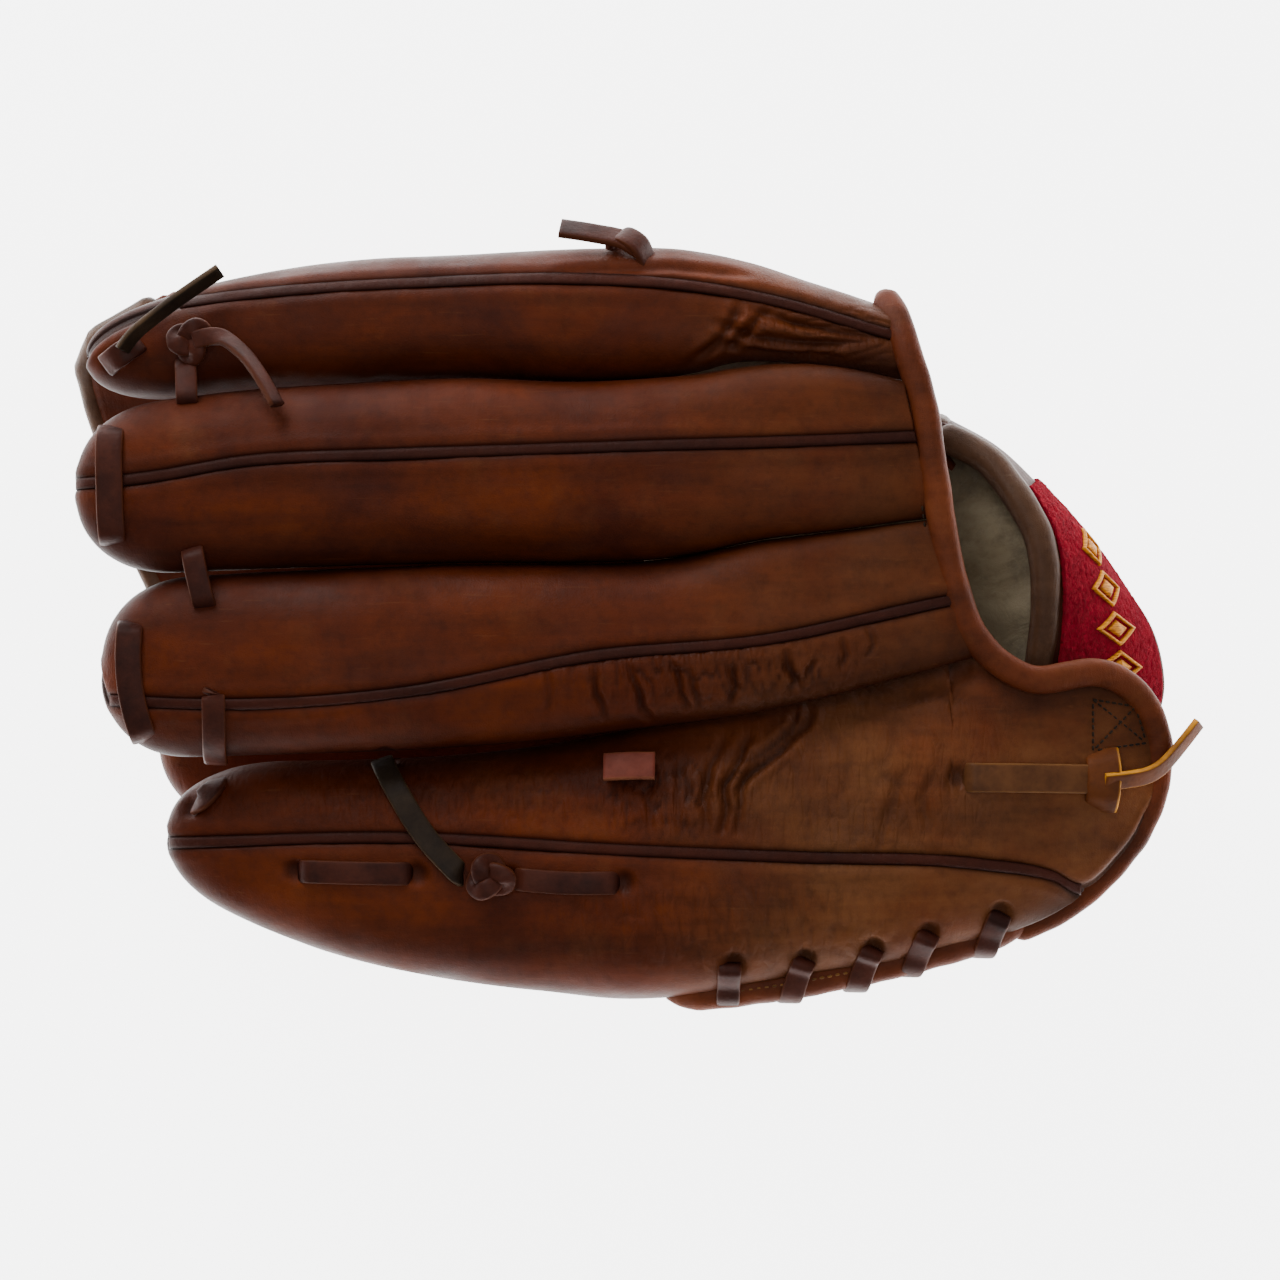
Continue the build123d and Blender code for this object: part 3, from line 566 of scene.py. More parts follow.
def highest(x, y):
    """The height of the glove's back over points, from whichever stall lies there."""
    heights = []
    for name, stall in STALLS.items():
        y_mid, half_y, z_mid, half_z, square = section_sizes(stall, np.atleast_1d(np.asarray(x, float)))
        inside = np.abs(np.asarray(y, float) - y_mid) <= half_y
        heights.append(np.where(inside, back_height(name, x, y), 0))
    return np.max(heights, axis=0)


def ring_places(stall, end):
    """x of each ring: closer together over the round tip."""
    turn = np.linspace(0.03, math.pi / 2, TIP_RINGS)
    tip = stall["tip"] + stall["round"] * (1 - np.cos(turn))
    body = np.arange(tip[-1] + RING_STEP, end, RING_STEP)
    return np.concatenate([tip, body, [end]])


def surface_lines(stall, x, start, end, shares):
    """Points of the sections at x between two angles, at shares of the arc's length: y and z grids."""
    y_mid, half_y, z_mid, half_z, square = section_sizes(stall, x)
    y, z = np.empty((len(x), len(shares))), np.empty((len(x), len(shares)))
    for i in range(len(x)):
        phi = np.linspace(start[i], end[i], ARC_SAMPLES)
        arc_y, arc_z = ring_point(phi, half_y[i], half_z[i], square[i])
        length = np.concatenate([[0], np.cumsum(np.hypot(np.diff(arc_y), np.diff(arc_z)))])
        length = length / max(length[-1], 1e-9)
        y[i] = y_mid[i] + np.interp(shares, length, arc_y)
        z[i] = z_mid[i] + np.interp(shares, length, arc_z)
    return y, z


def grid_normals(grid):
    """Unit normals of a grid of points, whichever way the grid turns."""
    normal = np.cross(np.gradient(grid, axis=0), np.gradient(grid, axis=1))
    return normal / np.maximum(np.linalg.norm(normal, axis=2, keepdims=True), 1e-9)


def rough(points, size, seed=0.0):
    """Smooth noise, about -1 to 1, over points in millimetres with lumps of about that size."""
    return np.array([noise.noise(Vector((p[0] / size + seed, p[1] / size, p[2] / size))) for p in points])


def distance_to_line(x, y, line):
    """Distance in plan from points to a line of straight runs, and how far along it, from 0 to 1."""
    best = np.full(x.shape, 1e9)
    place = np.zeros(x.shape)
    runs = len(line) - 1
    for i, (a, b) in enumerate(zip(line, line[1:])):
        dx, dy = b[0] - a[0], b[1] - a[1]
        t = np.clip(((x - a[0]) * dx + (y - a[1]) * dy) / (dx * dx + dy * dy), 0, 1)
        gap = np.hypot(x - a[0] - t * dx, y - a[1] - t * dy)
        place = np.where(gap < best, (i + t) / runs, place)
        best = np.minimum(best, gap)
    return best, place


def mesh_piece(name, verts, faces, **attributes):
    """An object from points in millimetres, with a number at each point for each attribute."""
    mesh = bpy.data.meshes.new(name)
    mesh.from_pydata((np.asarray(verts) * MM).tolist(), [], faces)
    for label, values in attributes.items():
        layer = mesh.attributes.new(label, "FLOAT", "POINT")
        layer.data.foreach_set("value", np.asarray(values, np.float32))
    mesh.update()
    mesh.polygons.foreach_set("use_smooth", [True] * len(mesh.polygons))
    piece = bpy.data.objects.new(name, mesh)
    bpy.context.scene.collection.objects.link(piece)
    return piece


def grid_faces(rows, columns, closed=False):
    faces = []
    for i in range(rows - 1):
        for j in range(columns if closed else columns - 1):
            k = (j + 1) % columns
            faces.append((i * columns + j, i * columns + k, (i + 1) * columns + k, (i + 1) * columns + j))
    return faces


def grid_piece(name, grid, **attributes):
    """An object from a grid of points; an attribute is one number, or a number at each point."""
    rows, columns = grid.shape[:2]
    values = {label: np.broadcast_to(value, (rows, columns)).ravel() for label, value in attributes.items()}
    return mesh_piece(name, grid.reshape(-1, 3), grid_faces(rows, columns), **values)


def thicken(piece, thickness, offset=-1.0):
    """Turns a sheet into a closed shell."""
    shell = piece.modifiers.new("thickness", "SOLIDIFY")
    shell.thickness = thickness * MM
    shell.offset = offset
    shell.use_rim = True
    bpy.context.view_layer.objects.active = piece
    bpy.ops.object.modifier_apply(modifier=shell.name)
    return piece


def place(piece, body, material, slot, *nodes):
    """Gives a piece its material and its body, and hides the CAD nodes that it stands for; a piece given two
    bodies is only fixed where it is.
    """
    piece.data.materials.clear()
    piece.data.materials.append(MATERIALS[material])
    if isinstance(body, str):
        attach(piece, body)
    else:
        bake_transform(piece)
    if nodes:
        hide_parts(*nodes)
    return piece


# ---------------------------------------------------------------- creases in the leather
# Folds as lines in plan: points, depth, width
CREASES = (
    (((24, 84), (36, 80), (52, 78), (70, 79)), 1.0, 1.3),
    (((28, 78), (42, 75.5), (60, 74.5)), 0.9, 1.2),
    (((34, 88), (46, 84), (60, 81), (72, 80)), 0.8, 1.1),
    (((20, 74), (30, 79), (38, 85)), 0.7, 1.4),
    (((18, 72), (27, 80), (33, 90)), 0.8, 1.3),
    (((26, 72), (33, 81), (41, 88)), 0.7, 1.2),
    (((51.5, -20.7), (50.3, -26.1), (43.1, -33.3), (34.7, -39.3), (31.7, -43), (32.1, -56.1)), 1.6, 1.2),
    (((47.9, -22.5), (46.7, -27.3), (40.7, -32.1), (33, -37)), 1.2, 1.1),
    (((35, -27), (31.1, -38.1), (28, -42), (28.6, -50.1), (26.5, -56)), 1.3, 1.2),
    (((28, -28), (24, -38), (22, -46), (22.5, -57)), 0.8, 1.1),
    (((17, -33), (15, -44), (16, -56)), 0.6, 1.0),
    (((8, -38), (7, -47), (9, -57)), 0.5, 0.9),
    (((76, -39), (73, -50), (69.5, -60)), 0.5, 1.6),
    (((88, -34), (82, -46), (84, -56)), 0.4, 1.4),
    (((68, -21), (85, -17.5), (99, -20)), 0.6, 1.6),
    (((-7.9, -9.3), (-6.7, -18), (-3.7, -25)), 1.0, 1.0),
    (((1.1, -9.3), (4.7, -16.5), (5.3, -21.3), (8.9, -25)), 1.1, 1.0),
    (((13.7, -8.5), (16.1, -15.3), (17.9, -22.5)), 1.2, 1.0),
    (((17.3, -10.5), (20.3, -17.7), (20.9, -21.3)), 0.9, 0.9),
    (((29.3, -9), (31.1, -15.3), (28.7, -20.5)), 1.1, 1.0),
    (((44.9, -5), (45.5, -10.5), (47.3, -14.1), (45, -17.7)), 1.3, 1.1),
    (((52.7, -8), (48.5, -14.1)), 0.8, 0.9),
    (((60, -2), (61, -7), (59, -11)), 0.7, 0.9),
    (((67, 1), (68.5, -4), (66, -8)), 0.6, 0.8),
    (((-20, -10), (-19, -17), (-21, -23)), 0.5, 1.0),
    (((-70, 24), (-30, 22), (10, 25)), 0.35, 3.0),
    (((-20, 98), (14, 99), (36, 96.5)), 0.5, 1.2),
)
# Areas of fine crinkle: middle x, y, half sizes, spacing across and along, depth
CRINKLES = (
    ((30, -13, 52, 9), 3.0, 11.0, 0.75),
    ((-45, -46, 62, 9), 2.6, 7.0, 0.35),
    ((12, -46, 20, 12), 2.8, 9.0, 0.95),
    ((52, 80, 24, 8), 8.0, 2.8, 0.6),
    ((66, -42, 46, 24), 7.0, 10.0, 0.3),
    ((30, -80, 50, 12), 4.0, 12.0, 0.4),
)
VALLEY = 0.13       # how narrow a crinkle's valley is
UNDER_CREASES = (
    (((-30, -60), (-24, -46), (-26, -34)), 0.5, 1.6),
    (((-18, -64), (-12, -50), (-15, -36)), 0.6, 1.6),
    (((-6, -30), (2, -16), (0, -4)), 0.4, 1.5),
    (((40, 92), (24, 70), (14, 48), (10, 20)), 0.9, 2.2),
    (((54, 88), (38, 66), (30, 40)), 0.6, 2.0),
    (((-60, 90), (-66, 60), (-58, 30)), 0.5, 2.4),
    (((-96, 84), (-104, 56), (-98, 24)), 0.5, 2.6),
)


def relief(grid, seed, back=False):
    """Height added to the leather over a grid, how crinkled it is, and painted shade in its grooves and
    holes;
    the back of the hand half has its creases, crinkles and lace holes, and every other piece only slow lumps
    and soft folds."""
    x, y = grid[..., 0], grid[..., 1]
    flat = grid.reshape(-1, 3)
    height = 0.55 * rough(flat, 26, seed).reshape(x.shape) + 0.22 * rough(flat, 9, seed + 7).reshape(x.shape)
    crinkle = np.zeros(x.shape)
    dark = np.zeros(x.shape)
    wobble = 0.9 * rough(flat, 5, seed + 3).reshape(x.shape)
    for line, depth, width in CREASES if back else UNDER_CREASES:
        gap, at = distance_to_line(x + wobble, y, line)
        fade = np.sin(np.clip(at, 0, 1) * math.pi) ** 0.5
        groove = fade * np.exp(-(gap / width) ** 2)
        height -= 1.5 * depth * groove
        height += 0.7 * depth * fade * np.exp(-((gap - 1.9 * width) / width) ** 2)
        # Painted shade along the bottom of each crease.
        dark = np.maximum(dark, min(depth, 1) * groove)
    for (mid_x, mid_y, half_x, half_y), spacing, long, depth in CRINKLES if back else ():
        share = np.exp(-(((x - mid_x) / half_x) ** 2 + ((y - mid_y) / half_y) ** 2) ** 1.5)
        crinkle = np.maximum(crinkle, share)
        inside = share > 0.03
        squashed = grid[inside] / (spacing, long, 2 * spacing)
        valley = np.exp(-(rough(squashed, 1.0, seed) / VALLEY) ** 2) * share[inside]
        height[inside] += depth * (0.4 * share[inside] - valley)
        # Painted shade in the crinkle valleys.
        dark[inside] = np.maximum(dark[inside], min(depth, 1) * valley)
    for hole_x, hole_y in HOLES if back else ():
        hole = np.exp(-(np.hypot(x - hole_x, y - hole_y) / HOLE_HALF) ** 4)
        height -= HOLE_DEEP * hole
        # Painted shade in the lace holes.
        dark = np.maximum(dark, hole)
    return height, crinkle, dark


# ---------------------------------------------------------------- stalls
def seam_line(stall, x):
    """y of the seam along a back, which closes in on the middle over the round tip."""
    y, = through(stall["seam"], x)
    y_mid, half_y = section_sizes(stall, x)[:2]
    room = np.maximum(half_y * SEAM_ROOM - WELT_HALF, 0)
    return np.clip(y, y_mid - room, y_mid + room)


def back_panel(name, stall, end, side, edge=None):
    """One leather panel of a back, from the welt out to the side: +1 is the side of the index finger."""
    x = ring_places(stall, end)
    seam = angle_at(stall, x, seam_line(stall, x))
    side_angle = np.full(len(x), 0.0 if side > 0 else math.pi)
    if name == "index" and side < 0:
        side_angle -= INNER_WALL * np.clip(x / 30, 0, 1)
    if edge is not None:
        limit, = through(edge, x)
        cut = angle_at(stall, x, limit)
        side_angle = np.where(x > edge[0][0], cut, side_angle)
    shares = np.linspace(0, 1, LINE_COUNT) ** 1.6
    y, z = surface_lines(stall, x, seam, side_angle, shares)
    return np.dstack([np.repeat(x[:, None], len(shares), axis=1), y, z])


def cut_to_edge(grid, edge, start):
    """Ends each line of a grid on an edge given as (x, y) points, by spreading its rings."""
    edge = np.array(sorted(edge, key=lambda point: point[1]), float)
    out = grid.copy()
    for j in range(grid.shape[1]):
        x = grid[:, j, 0]
        last = np.interp(np.interp(edge[:, 0].mean(), x, grid[:, j, 1]), edge[:, 1], edge[:, 0])
        last = np.interp(np.interp(last, x, grid[:, j, 1]), edge[:, 1], edge[:, 0])
        new = np.where(x < start, x, start + (x - start) * (last - start) / (x[-1] - start))
        for k in range(3):
            out[:, j, k] = np.interp(new, x, grid[:, j, k])
    return out


def dress(name, grid, seed, outward=1):
    """Adds the relief, sinks the leather at its seam, and makes the panel with dark seams, painted shade in
    its valleys and creases, and wear with painted highlights on its ridges.
    """
    normal = grid_normals(grid)
    if normal[..., 2].mean() * outward < 0:
        normal = -normal
    height, crinkle, dark = relief(grid, seed, outward > 0)
    seam_gap = np.linalg.norm(grid - grid[:, :1], axis=2)
    side_gap = np.linalg.norm(grid - grid[:, -1:], axis=2)
    height = height * np.clip(side_gap / 6, 0.3, 1)
    height -= 0.75 * np.exp(-np.clip(seam_gap - WELT_HALF * 0.85, 0, None) / 0.45)
    height += 0.25 * np.exp(-((seam_gap - 4.2) / 1.8) ** 2)
    # Darker at the seam, a dark joint with painted shade in its groove, and towards the panel's side, down in
    # the valley between stalls, where the darkening is painted shade.
    dirt = 0.8 * np.exp(-(seam_gap / 2.3) ** 4) + 0.8 * np.exp(-(side_gap / 9) ** 1.5)
    # Paler where the leather stands up and away from the darkened parts: wear, with painted highlights on
    # ridges.
    wear = np.clip(1 - dirt * 1.4, 0, 1) * np.clip(height * 0.8 + 0.45, 0, 1)
    # Painted shade in creases, crinkle valleys and lace holes.
    dirt = np.maximum(dirt, 0.7 * dark)
    heel = np.clip((grid[..., 0] - 5) / 50, 0, 1) * (0.5 + 0.5 * np.clip((-12 - grid[..., 1]) / 24, 0, 1))
    points = grid + normal * height[..., None]
    points[..., 2] = np.maximum(points[..., 2], 0.05)
    fine = np.clip(crinkle + 0.12, 0, 1)
    piece = grid_piece(name, points, dirt=np.clip(dirt, 0, 1), wear=wear, crinkle=fine, heel=heel)
    return thicken(piece, PANEL_THICK, inward(piece, outward))


def inward(piece, outward=1):
    """Which way a sheet's thickness grows to go into the glove from an upper (1) or lower (-1) face."""
    facing = sum(polygon.normal.z * polygon.area for polygon in piece.data.polygons)
    return -1.0 if facing * outward > 0 else 1.0


def welt_strip(name, stall, end, edge=None, turned=False):
    """The raised strip between two back panels, from where the round tip has room for it."""
    x = ring_places(stall, end)
    y_mid, half_y = section_sizes(stall, x)[:2]
    x = x[np.abs(through(stall["seam"], x)[0] - y_mid) < half_y * SEAM_ROOM - WELT_HALF]
    across = np.linspace(-1, 1, 9)
    y_mid, half_y, z_mid, half_z, square = section_sizes(stall, x)
    y = seam_line(stall, x)[:, None] + across * np.minimum(WELT_HALF, half_y * SEAM_ROOM)[:, None]
    part = np.clip(np.abs((y - y_mid[:, None]) / half_y[:, None]), 0, 1)
    z = z_mid[:, None] + half_z[:, None] * (1 - part ** square[:, None]) ** (1 / square[:, None])
    lift = WELT_PROUD * (1 - np.abs(across) ** 3) - 0.5 * np.abs(across) ** 4
    grid = np.dstack([np.repeat(x[:, None], len(across), axis=1), y, z + lift])
    if edge is not None:
        grid = cut_to_edge(grid, edge, 55)
    height = 0.16 * rough(grid.reshape(-1, 3), 3.0).reshape(grid.shape[:2])
    grid[..., 2] += height
    if turned:
        grid = upside_down(stall, grid)
        grid[..., 2] = np.maximum(grid[..., 2], 0.05)
    # Darker towards both sides, where the strip sinks into its seams: dark seam joints with painted shade;
    # paler along its middle: wear with a painted highlight on the crown.
    dirt = np.abs(across) ** 3 * np.ones((len(x), 1))
    piece = grid_piece(name, grid, dirt=dirt, wear=(1 - dirt) * 0.5, crinkle=0.25)
    return thicken(piece, PANEL_THICK, inward(piece, -1 if turned else 1))


def front_grid(stall, end, first=0.0, last=-math.pi):
    """The palm side of a stall; where the palm is open, it runs only between the first and last angles."""
    x = ring_places(stall, end)
    opened = np.clip(x / 12, 0, 1)
    shares = np.linspace(0, 1, LINE_COUNT + 10)
    y, z = surface_lines(stall, x, first * opened, -math.pi + (last + math.pi) * opened, shares)
    return np.dstack([np.repeat(x[:, None], len(shares), axis=1), y, z])


def front_piece(name, grid, stall, seed, outward=1):
    """Leather of the palm side, thickened into the stall."""
    middle = section_sizes(stall, grid[:, 0, 0])
    flat = 0 * grid[..., 0]
    centre = np.dstack([grid[..., 0], middle[0][:, None] + flat, middle[2][:, None] + flat])
    normal = grid_normals(grid)
    normal = normal * np.sign((normal * (grid - centre)).sum(axis=2).mean())
    height = relief(grid, seed)[0]
    gap = np.minimum(np.linalg.norm(grid - grid[:, :1], axis=2), np.linalg.norm(grid - grid[:, -1:], axis=2))
    height = height * np.clip(gap / 8, 0.1, 1)
    # Darker towards both long edges and paler between them.
    dirt = np.clip(0.8 * np.exp(-(gap / 5) ** 2), 0, 1)
    points = grid + normal * height[..., None]
    piece = grid_piece(name, points, dirt=dirt, wear=1 - dirt, crinkle=0.3)
    return thicken(piece, PANEL_THICK, inward(piece, -outward))


def make_fixed_stalls():
    """Index, middle and ring stalls, each from its two back panels, welt and front."""
    for seed, name in enumerate(("index", "middle", "ring")):
        stall = STALLS[name]
        for side, label in ((1, "thumb_side"), (-1, "pinky_side")):
            grid = cut_to_edge(back_panel(name, stall, 96, side), BACK_EDGE, 50)
            piece = dress(f"{name}_back_{label}_leather", grid, seed * 11.3)
            place(piece, "hand", "shell_leather", "shell_leather", f"{name}_back_{label}")
        welt = welt_strip(f"{name}_welt_strip", stall, 96, BACK_EDGE)
        place(welt, "hand", "welt_leather", "welt_leather", f"{name}_welt")
        end = 78 if name == "index" else PALM_START
        grid = front_grid(stall, end, 0, -math.pi / 2)
        front = front_piece(f"{name}_front_leather", grid, stall, seed * 5.1)
        place(front, "hand", "shell_leather", "shell_leather", f"{name}_front")


def make_pinky():
    """The little finger, whose leather runs on over the heel to the flap."""
    stall = STALLS["pinky"]
    upper = dress("pinky_back_upper_leather", back_panel("pinky", stall, 147.6, 1, FLAP_TOP), 41.0)
    place(upper, PINKY_BEND, "shell_leather", "shell_leather", "pinky_back_ring_side", "heel_flap_upper")
    lower = dress("pinky_back_lower_leather", back_panel("pinky", stall, 127, -1, FLAP_FOOT), 41.0)
    place(lower, PINKY_BEND, "shell_leather", "shell_leather", "pinky_back_outer_side", "heel_flap_lower")
    welt = welt_strip("pinky_welt_strip", stall, 126)
    place(welt, PINKY_BEND, "welt_leather", "welt_leather", "pinky_welt", "heel_welt")
    front = front_piece("pinky_front_leather", front_grid(stall, 120, -math.pi / 2), stall, 17.0)
    place(front, PINKY_BEND, "shell_leather", "shell_leather", "pinky_front")


# ---------------------------------------------------------------- laces and rolled edges
def oval(half_side, half_up, count=18, square=2.3):
    """A section in (side, up) pairs."""
    turn = np.linspace(0, 2 * math.pi, count, endpoint=False)
    cos, sin = np.cos(turn), np.sin(turn)
    power = 2 / square
    return np.column_stack([half_side * np.sign(cos) * np.abs(cos) ** power,
                            half_up * np.sign(sin) * np.abs(sin) ** power])


def swept(name, path, section, ups, taper=0.0, one_cut=False, **fixed):
    """A solid with its section carried along a path, its ends drawn in over the taper's length."""
    path = np.asarray(path, float)
    lengths = np.concatenate([[0], np.cumsum(np.linalg.norm(np.diff(path, axis=0), axis=1))])
    tangent = np.gradient(path, axis=0)
    tangent /= np.linalg.norm(tangent, axis=1, keepdims=True)
    ups = np.asarray(ups, float) * np.ones(path.shape)
    ups = ups - tangent * (ups * tangent).sum(axis=1, keepdims=True)
    ups /= np.linalg.norm(ups, axis=1, keepdims=True)
    sides = np.cross(ups, tangent)
    end_gap = np.minimum(lengths, lengths[-1] - lengths)
    size = np.sqrt(np.clip(end_gap / taper, 0.03, 1)) if taper else np.ones(len(path))
    spread = sides[:, None] * section[None, :, :1] + ups[:, None] * section[None, :, 1:]
    rings = path[:, None] + spread * size[:, None, None]
    faces = grid_faces(len(path), len(section), closed=True)
    faces.append(tuple(range(len(section)))[::-1])
    faces.append(tuple(range((len(path) - 1) * len(section), len(path) * len(section))))
    half = np.abs(section[:, 0]).max()
    reach = section[:, 0] if one_cut else np.abs(section[:, 0])
    edge = np.clip((reach / half - 0.86) / 0.1, 0, 1)
    # The lower half of a section is darker and the upper half paler: painted shade underneath and painted
    # highlight on top, seen on rolled leather edges.
    low = np.clip(-section[:, 1] / np.abs(section[:, 1]).max(), 0, 1)
    values = {"edge": np.tile(edge, len(path)), "dirt": np.tile(low, len(path)),
              "wear": np.tile(1 - low, len(path)) * 0.8, "crinkle": np.full(len(path) * len(section), 0.2)}
    values.update({label: np.full(len(path) * len(section), value) for label, value in fixed.items()})
    return mesh_piece(name, rings.reshape(-1, 3), faces, **values)


def roughened(piece, size, amount):
    """Small irregularities on a piece, along its own normals."""
    points = np.array([vertex.co for vertex in piece.data.vertices]) / MM
    normals = np.array([vertex.normal for vertex in piece.data.vertices])
    points += normals * (amount * rough(points, size, 3.3))[:, None]
    piece.data.vertices.foreach_set("co", (points * MM).ravel())
    piece.data.update()
    return piece


def surface_up(x, y):
    """Direction out of the back of the glove at points in plan."""
    step = SLOPE_STEP
    slope_x = (highest(x + step, y) - highest(x - step, y)) / (2 * step)
    slope_y = (highest(x, y + step) - highest(x, y - step)) / (2 * step)
    up = np.column_stack([-slope_x, -slope_y, np.ones(len(x))])
    window = np.ones(UP_SMOOTHING) / UP_SMOOTHING
    padding = UP_SMOOTHING // 2
    up = np.array([np.convolve(np.pad(part, padding, mode="edge"), window, mode="valid") for part in up.T]).T
    return up / np.linalg.norm(up, axis=1, keepdims=True)


def taut(lengths, heights):
    """The lowest line without hollows over a profile, as a pulled lace takes."""
    hull = []
    for point in zip(lengths, heights):
        while len(hull) > 1 and (hull[-1][1] - hull[-2][1]) * (point[0] - hull[-2][0]) \
                <= (point[1] - hull[-2][1]) * (hull[-1][0] - hull[-2][0]):
            hull.pop()
        hull.append(point)
    return np.interp(lengths, [p[0] for p in hull], [p[1] for p in hull])


def lace(name, route, width=LACE_WIDTH, lift=1.5, dip=3.2, up=None):
    """A flat lace over the back, its ends going down into their holes."""
    points, lengths = along(route, 0.8)
    x, y = points[:, 0], points[:, 1]
    z = highest(x, y) + points[:, 2]
    z = taut(lengths, np.maximum(z, z.max() - LACE_SAG))
    ups = surface_up(x, y).mean(axis=0) if up is None else up
    z = z + lift + 0.15 * np.sin(lengths / 5)
    end_gap = np.minimum(lengths, lengths[-1] - lengths)
    z = z - dip * np.clip(1 - end_gap / 2.4, 0, 1) ** 2
    section = oval(width / 2, LACE_THICK / 2, 24, 5)
    return swept(name, np.column_stack([x, y, z]), section, ups)


def make_laces():
    """Straps over the fingertips, the little finger's loop, the wrist lace and the web's lace end."""
    for number, (name, route, width) in enumerate(STRAP_LACES):
        piece = lace(name, route, width, 1.9, 3.2, (0, 0, 1) if "tip" in name else None)
        nodes = ("fingertip_lace",) if number == 0 else ()
        place(piece, "hand", "rawhide_lace", "rawhide_lace", *nodes)
    tip = lace("pinky_tip_lace_strap", PINKY_TIP_LACE, 6.4)
    place(tip, "pinky", "rawhide_lace", "rawhide_lace", "pinky_tip_lace")
    for number, route in enumerate(PINKY_LOOP_LACES):
        piece = lace(f"pinky_loop_lace_{number}", route, 6.4, lift=0.5, dip=2.4)
        place(piece, "pinky", "rawhide_lace", "rawhide_lace")
    cross = lace("pinky_cross_lace_strap", PINKY_CROSS_LACE, 6.4, lift=2.0)
    place(cross, "pinky", "dark_lace", "rawhide_lace", "pinky_cross_lace")
    crotch = lace("crotch_lace_end", CROTCH_LACE, 8.0, lift=3.0, dip=0)
    place(crotch, "pinky", "red_lace", "rawhide_lace", "crotch_lace")
    wrist = lace("wrist_lace_strap", WRIST_LACE, 8.0, lift=1.2)
    place(wrist, "hand", "tan_lace", "rawhide_lace", "wrist_lace")
    section = oval(3.4, 1.1, 24, 5)
    for name, route in (("web_lace_tail", WEB_LACE_END), ("web_lace_loop", WEB_LACE_LOOP)):
        piece = swept(name, along(route, 0.8)[0], section, (0, 0.75, 0.65))
        place(piece, "hand", "rawhide_lace", "rawhide_lace")
    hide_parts("web_lace_end")


def make_knots():
    """Overhand knots: the lace goes round three times, over and under itself."""
    turn = np.linspace(0, 2 * math.pi, 120)
    for name, x, y, size, angle in KNOTS:
        scale = size / 3.4
        a = (np.sin(turn) + 2 * np.sin(2 * turn)) * scale
        b = (np.cos(turn) - 2 * np.cos(2 * turn)) * scale * 0.9
        c = -np.sin(3 * turn) * 1.5
        up = surface_up(np.full(UP_SMOOTHING, float(x)), np.full(UP_SMOOTHING, float(y)))[UP_SMOOTHING // 2]
        side = np.cross(up, (0, 1, 0))
        side /= np.linalg.norm(side)
        across = np.cross(up, side)
        base = np.array([x, y, highest(x, y)[0] + 2.9])
        first = side * math.cos(angle) + across * math.sin(angle)
        second = np.cross(up, first)
        path = base + np.outer(a, first) + np.outer(b, second) + np.outer(c, up)
        piece = roughened(swept(name, path, oval(2.6, 1.5, 16, 3), up), 3.0, 0.25)
        body, node = ("pinky", "pinky_loop_lace") if name.startswith("pinky") else ("hand", "index_knots")
        place(piece, body, "rawhide_lace", "rawhide_lace", node)
    for name, route, width in FOLDED_KNOTS:
        path = along(route, 0.6)[0]
        path[:, 2] += highest(path[:, 0], path[:, 1]).max() + 0.6
        piece = roughened(swept(name, path, oval(width / 2, 1.3, 24, 4), (0, 0, 1), one_cut=True), 3.0, 0.2)
        place(piece, "hand", "golden_lace" if name == "wrist_knot" else "rawhide_lace", "rawhide_lace")


def along_spline(route):
    """Points along the NURBS curve that has a cord's route as its control points."""
    curve = bpy.data.curves.new("route", "CURVE")
    curve.dimensions = "3D"
    spline = curve.splines.new("NURBS")
    spline.points.add(len(route) - 1)
    for point, spot in zip(spline.points, route):
        point.co = (*spot, 1)
    spline.order_u = 3
    spline.use_endpoint_u = True
    holder = bpy.data.objects.new("route", curve)
    bpy.context.scene.collection.objects.link(holder)
    line = bpy.data.meshes.new_from_object(holder)
    points = np.array([vertex.co for vertex in line.vertices])
    bpy.data.objects.remove(holder)
    return points


def make_tails():
    """The free ends of the laces, flat and a little twisted."""
    for node, route in TAIL_ROUTES.items():
        material, twist, up = TAIL_LOOKS[node]
        path = along_spline(route)
        ups = np.array([up] * len(path), float)
        ups[:, 0] += np.linspace(0, twist, len(path))
        piece = swept(f"{node}_lace", path / MM, oval(TAIL_WIDTH / 2, LACE_THICK / 2, 24, 5), ups)
        place(piece, "hand", material, "rawhide_lace", node)


def make_rolls():
    """The rolled leather of the back opening and flap, the heel edge and the wrist strap."""
    path, lengths = along(BACK_ROLL, 1.2)
    path[:, 2] += 0.35 * np.sin(lengths / 9) + 0.3
    roll = roughened(swept("back_rolled_edge", path, oval(3.9, 3.1, 22), (0, 0, 1), taper=4), 7, 0.3)
    place(roll, "hand", "binding_leather", "binding_leather", "wrist_binding")
    path = along(HEEL_ROLL, 1.2)[0]
    heel = roughened(swept("heel_rolled_edge", path, oval(4.4, 4.2, 20), (0, -0.3, 1), taper=9), 6, 0.35)
    place(heel, PINKY_BEND, "binding_leather", "binding_leather")
    path = along(STRAP_TOP, 1.2)[0]
    strap = roughened(swept("strap_rolled_edge", path, oval(4.2, 3.6, 22), (0.4, 0.1, 1), taper=3), 8, 0.3)
    place(strap, "hand", "strap_leather", "binding_leather", "strap_binding")


def bound_edge(name, line, body, up, half, material="binding_leather"):
    """A narrow rolled strip of leather sewn over a raw edge."""
    piece = roughened(swept(name, line, oval(half, half, 16), up, taper=half), 6, 0.2)
    place(piece, body, material, "binding_leather")


def ring_at(stall, x, start, end, inset):
    """Points round a stall's section at x, from one angle to another."""
    y_mid, half_y, z_mid, half_z, square = section_sizes(stall, np.array([float(x)]))
    turn = np.linspace(start, end, RING_COUNT)
    y, z = ring_point(turn, half_y[0] - inset, half_z[0] - inset, square[0])
    return np.column_stack([np.full(RING_COUNT, float(x)), y_mid[0] + y, z_mid[0] + z])


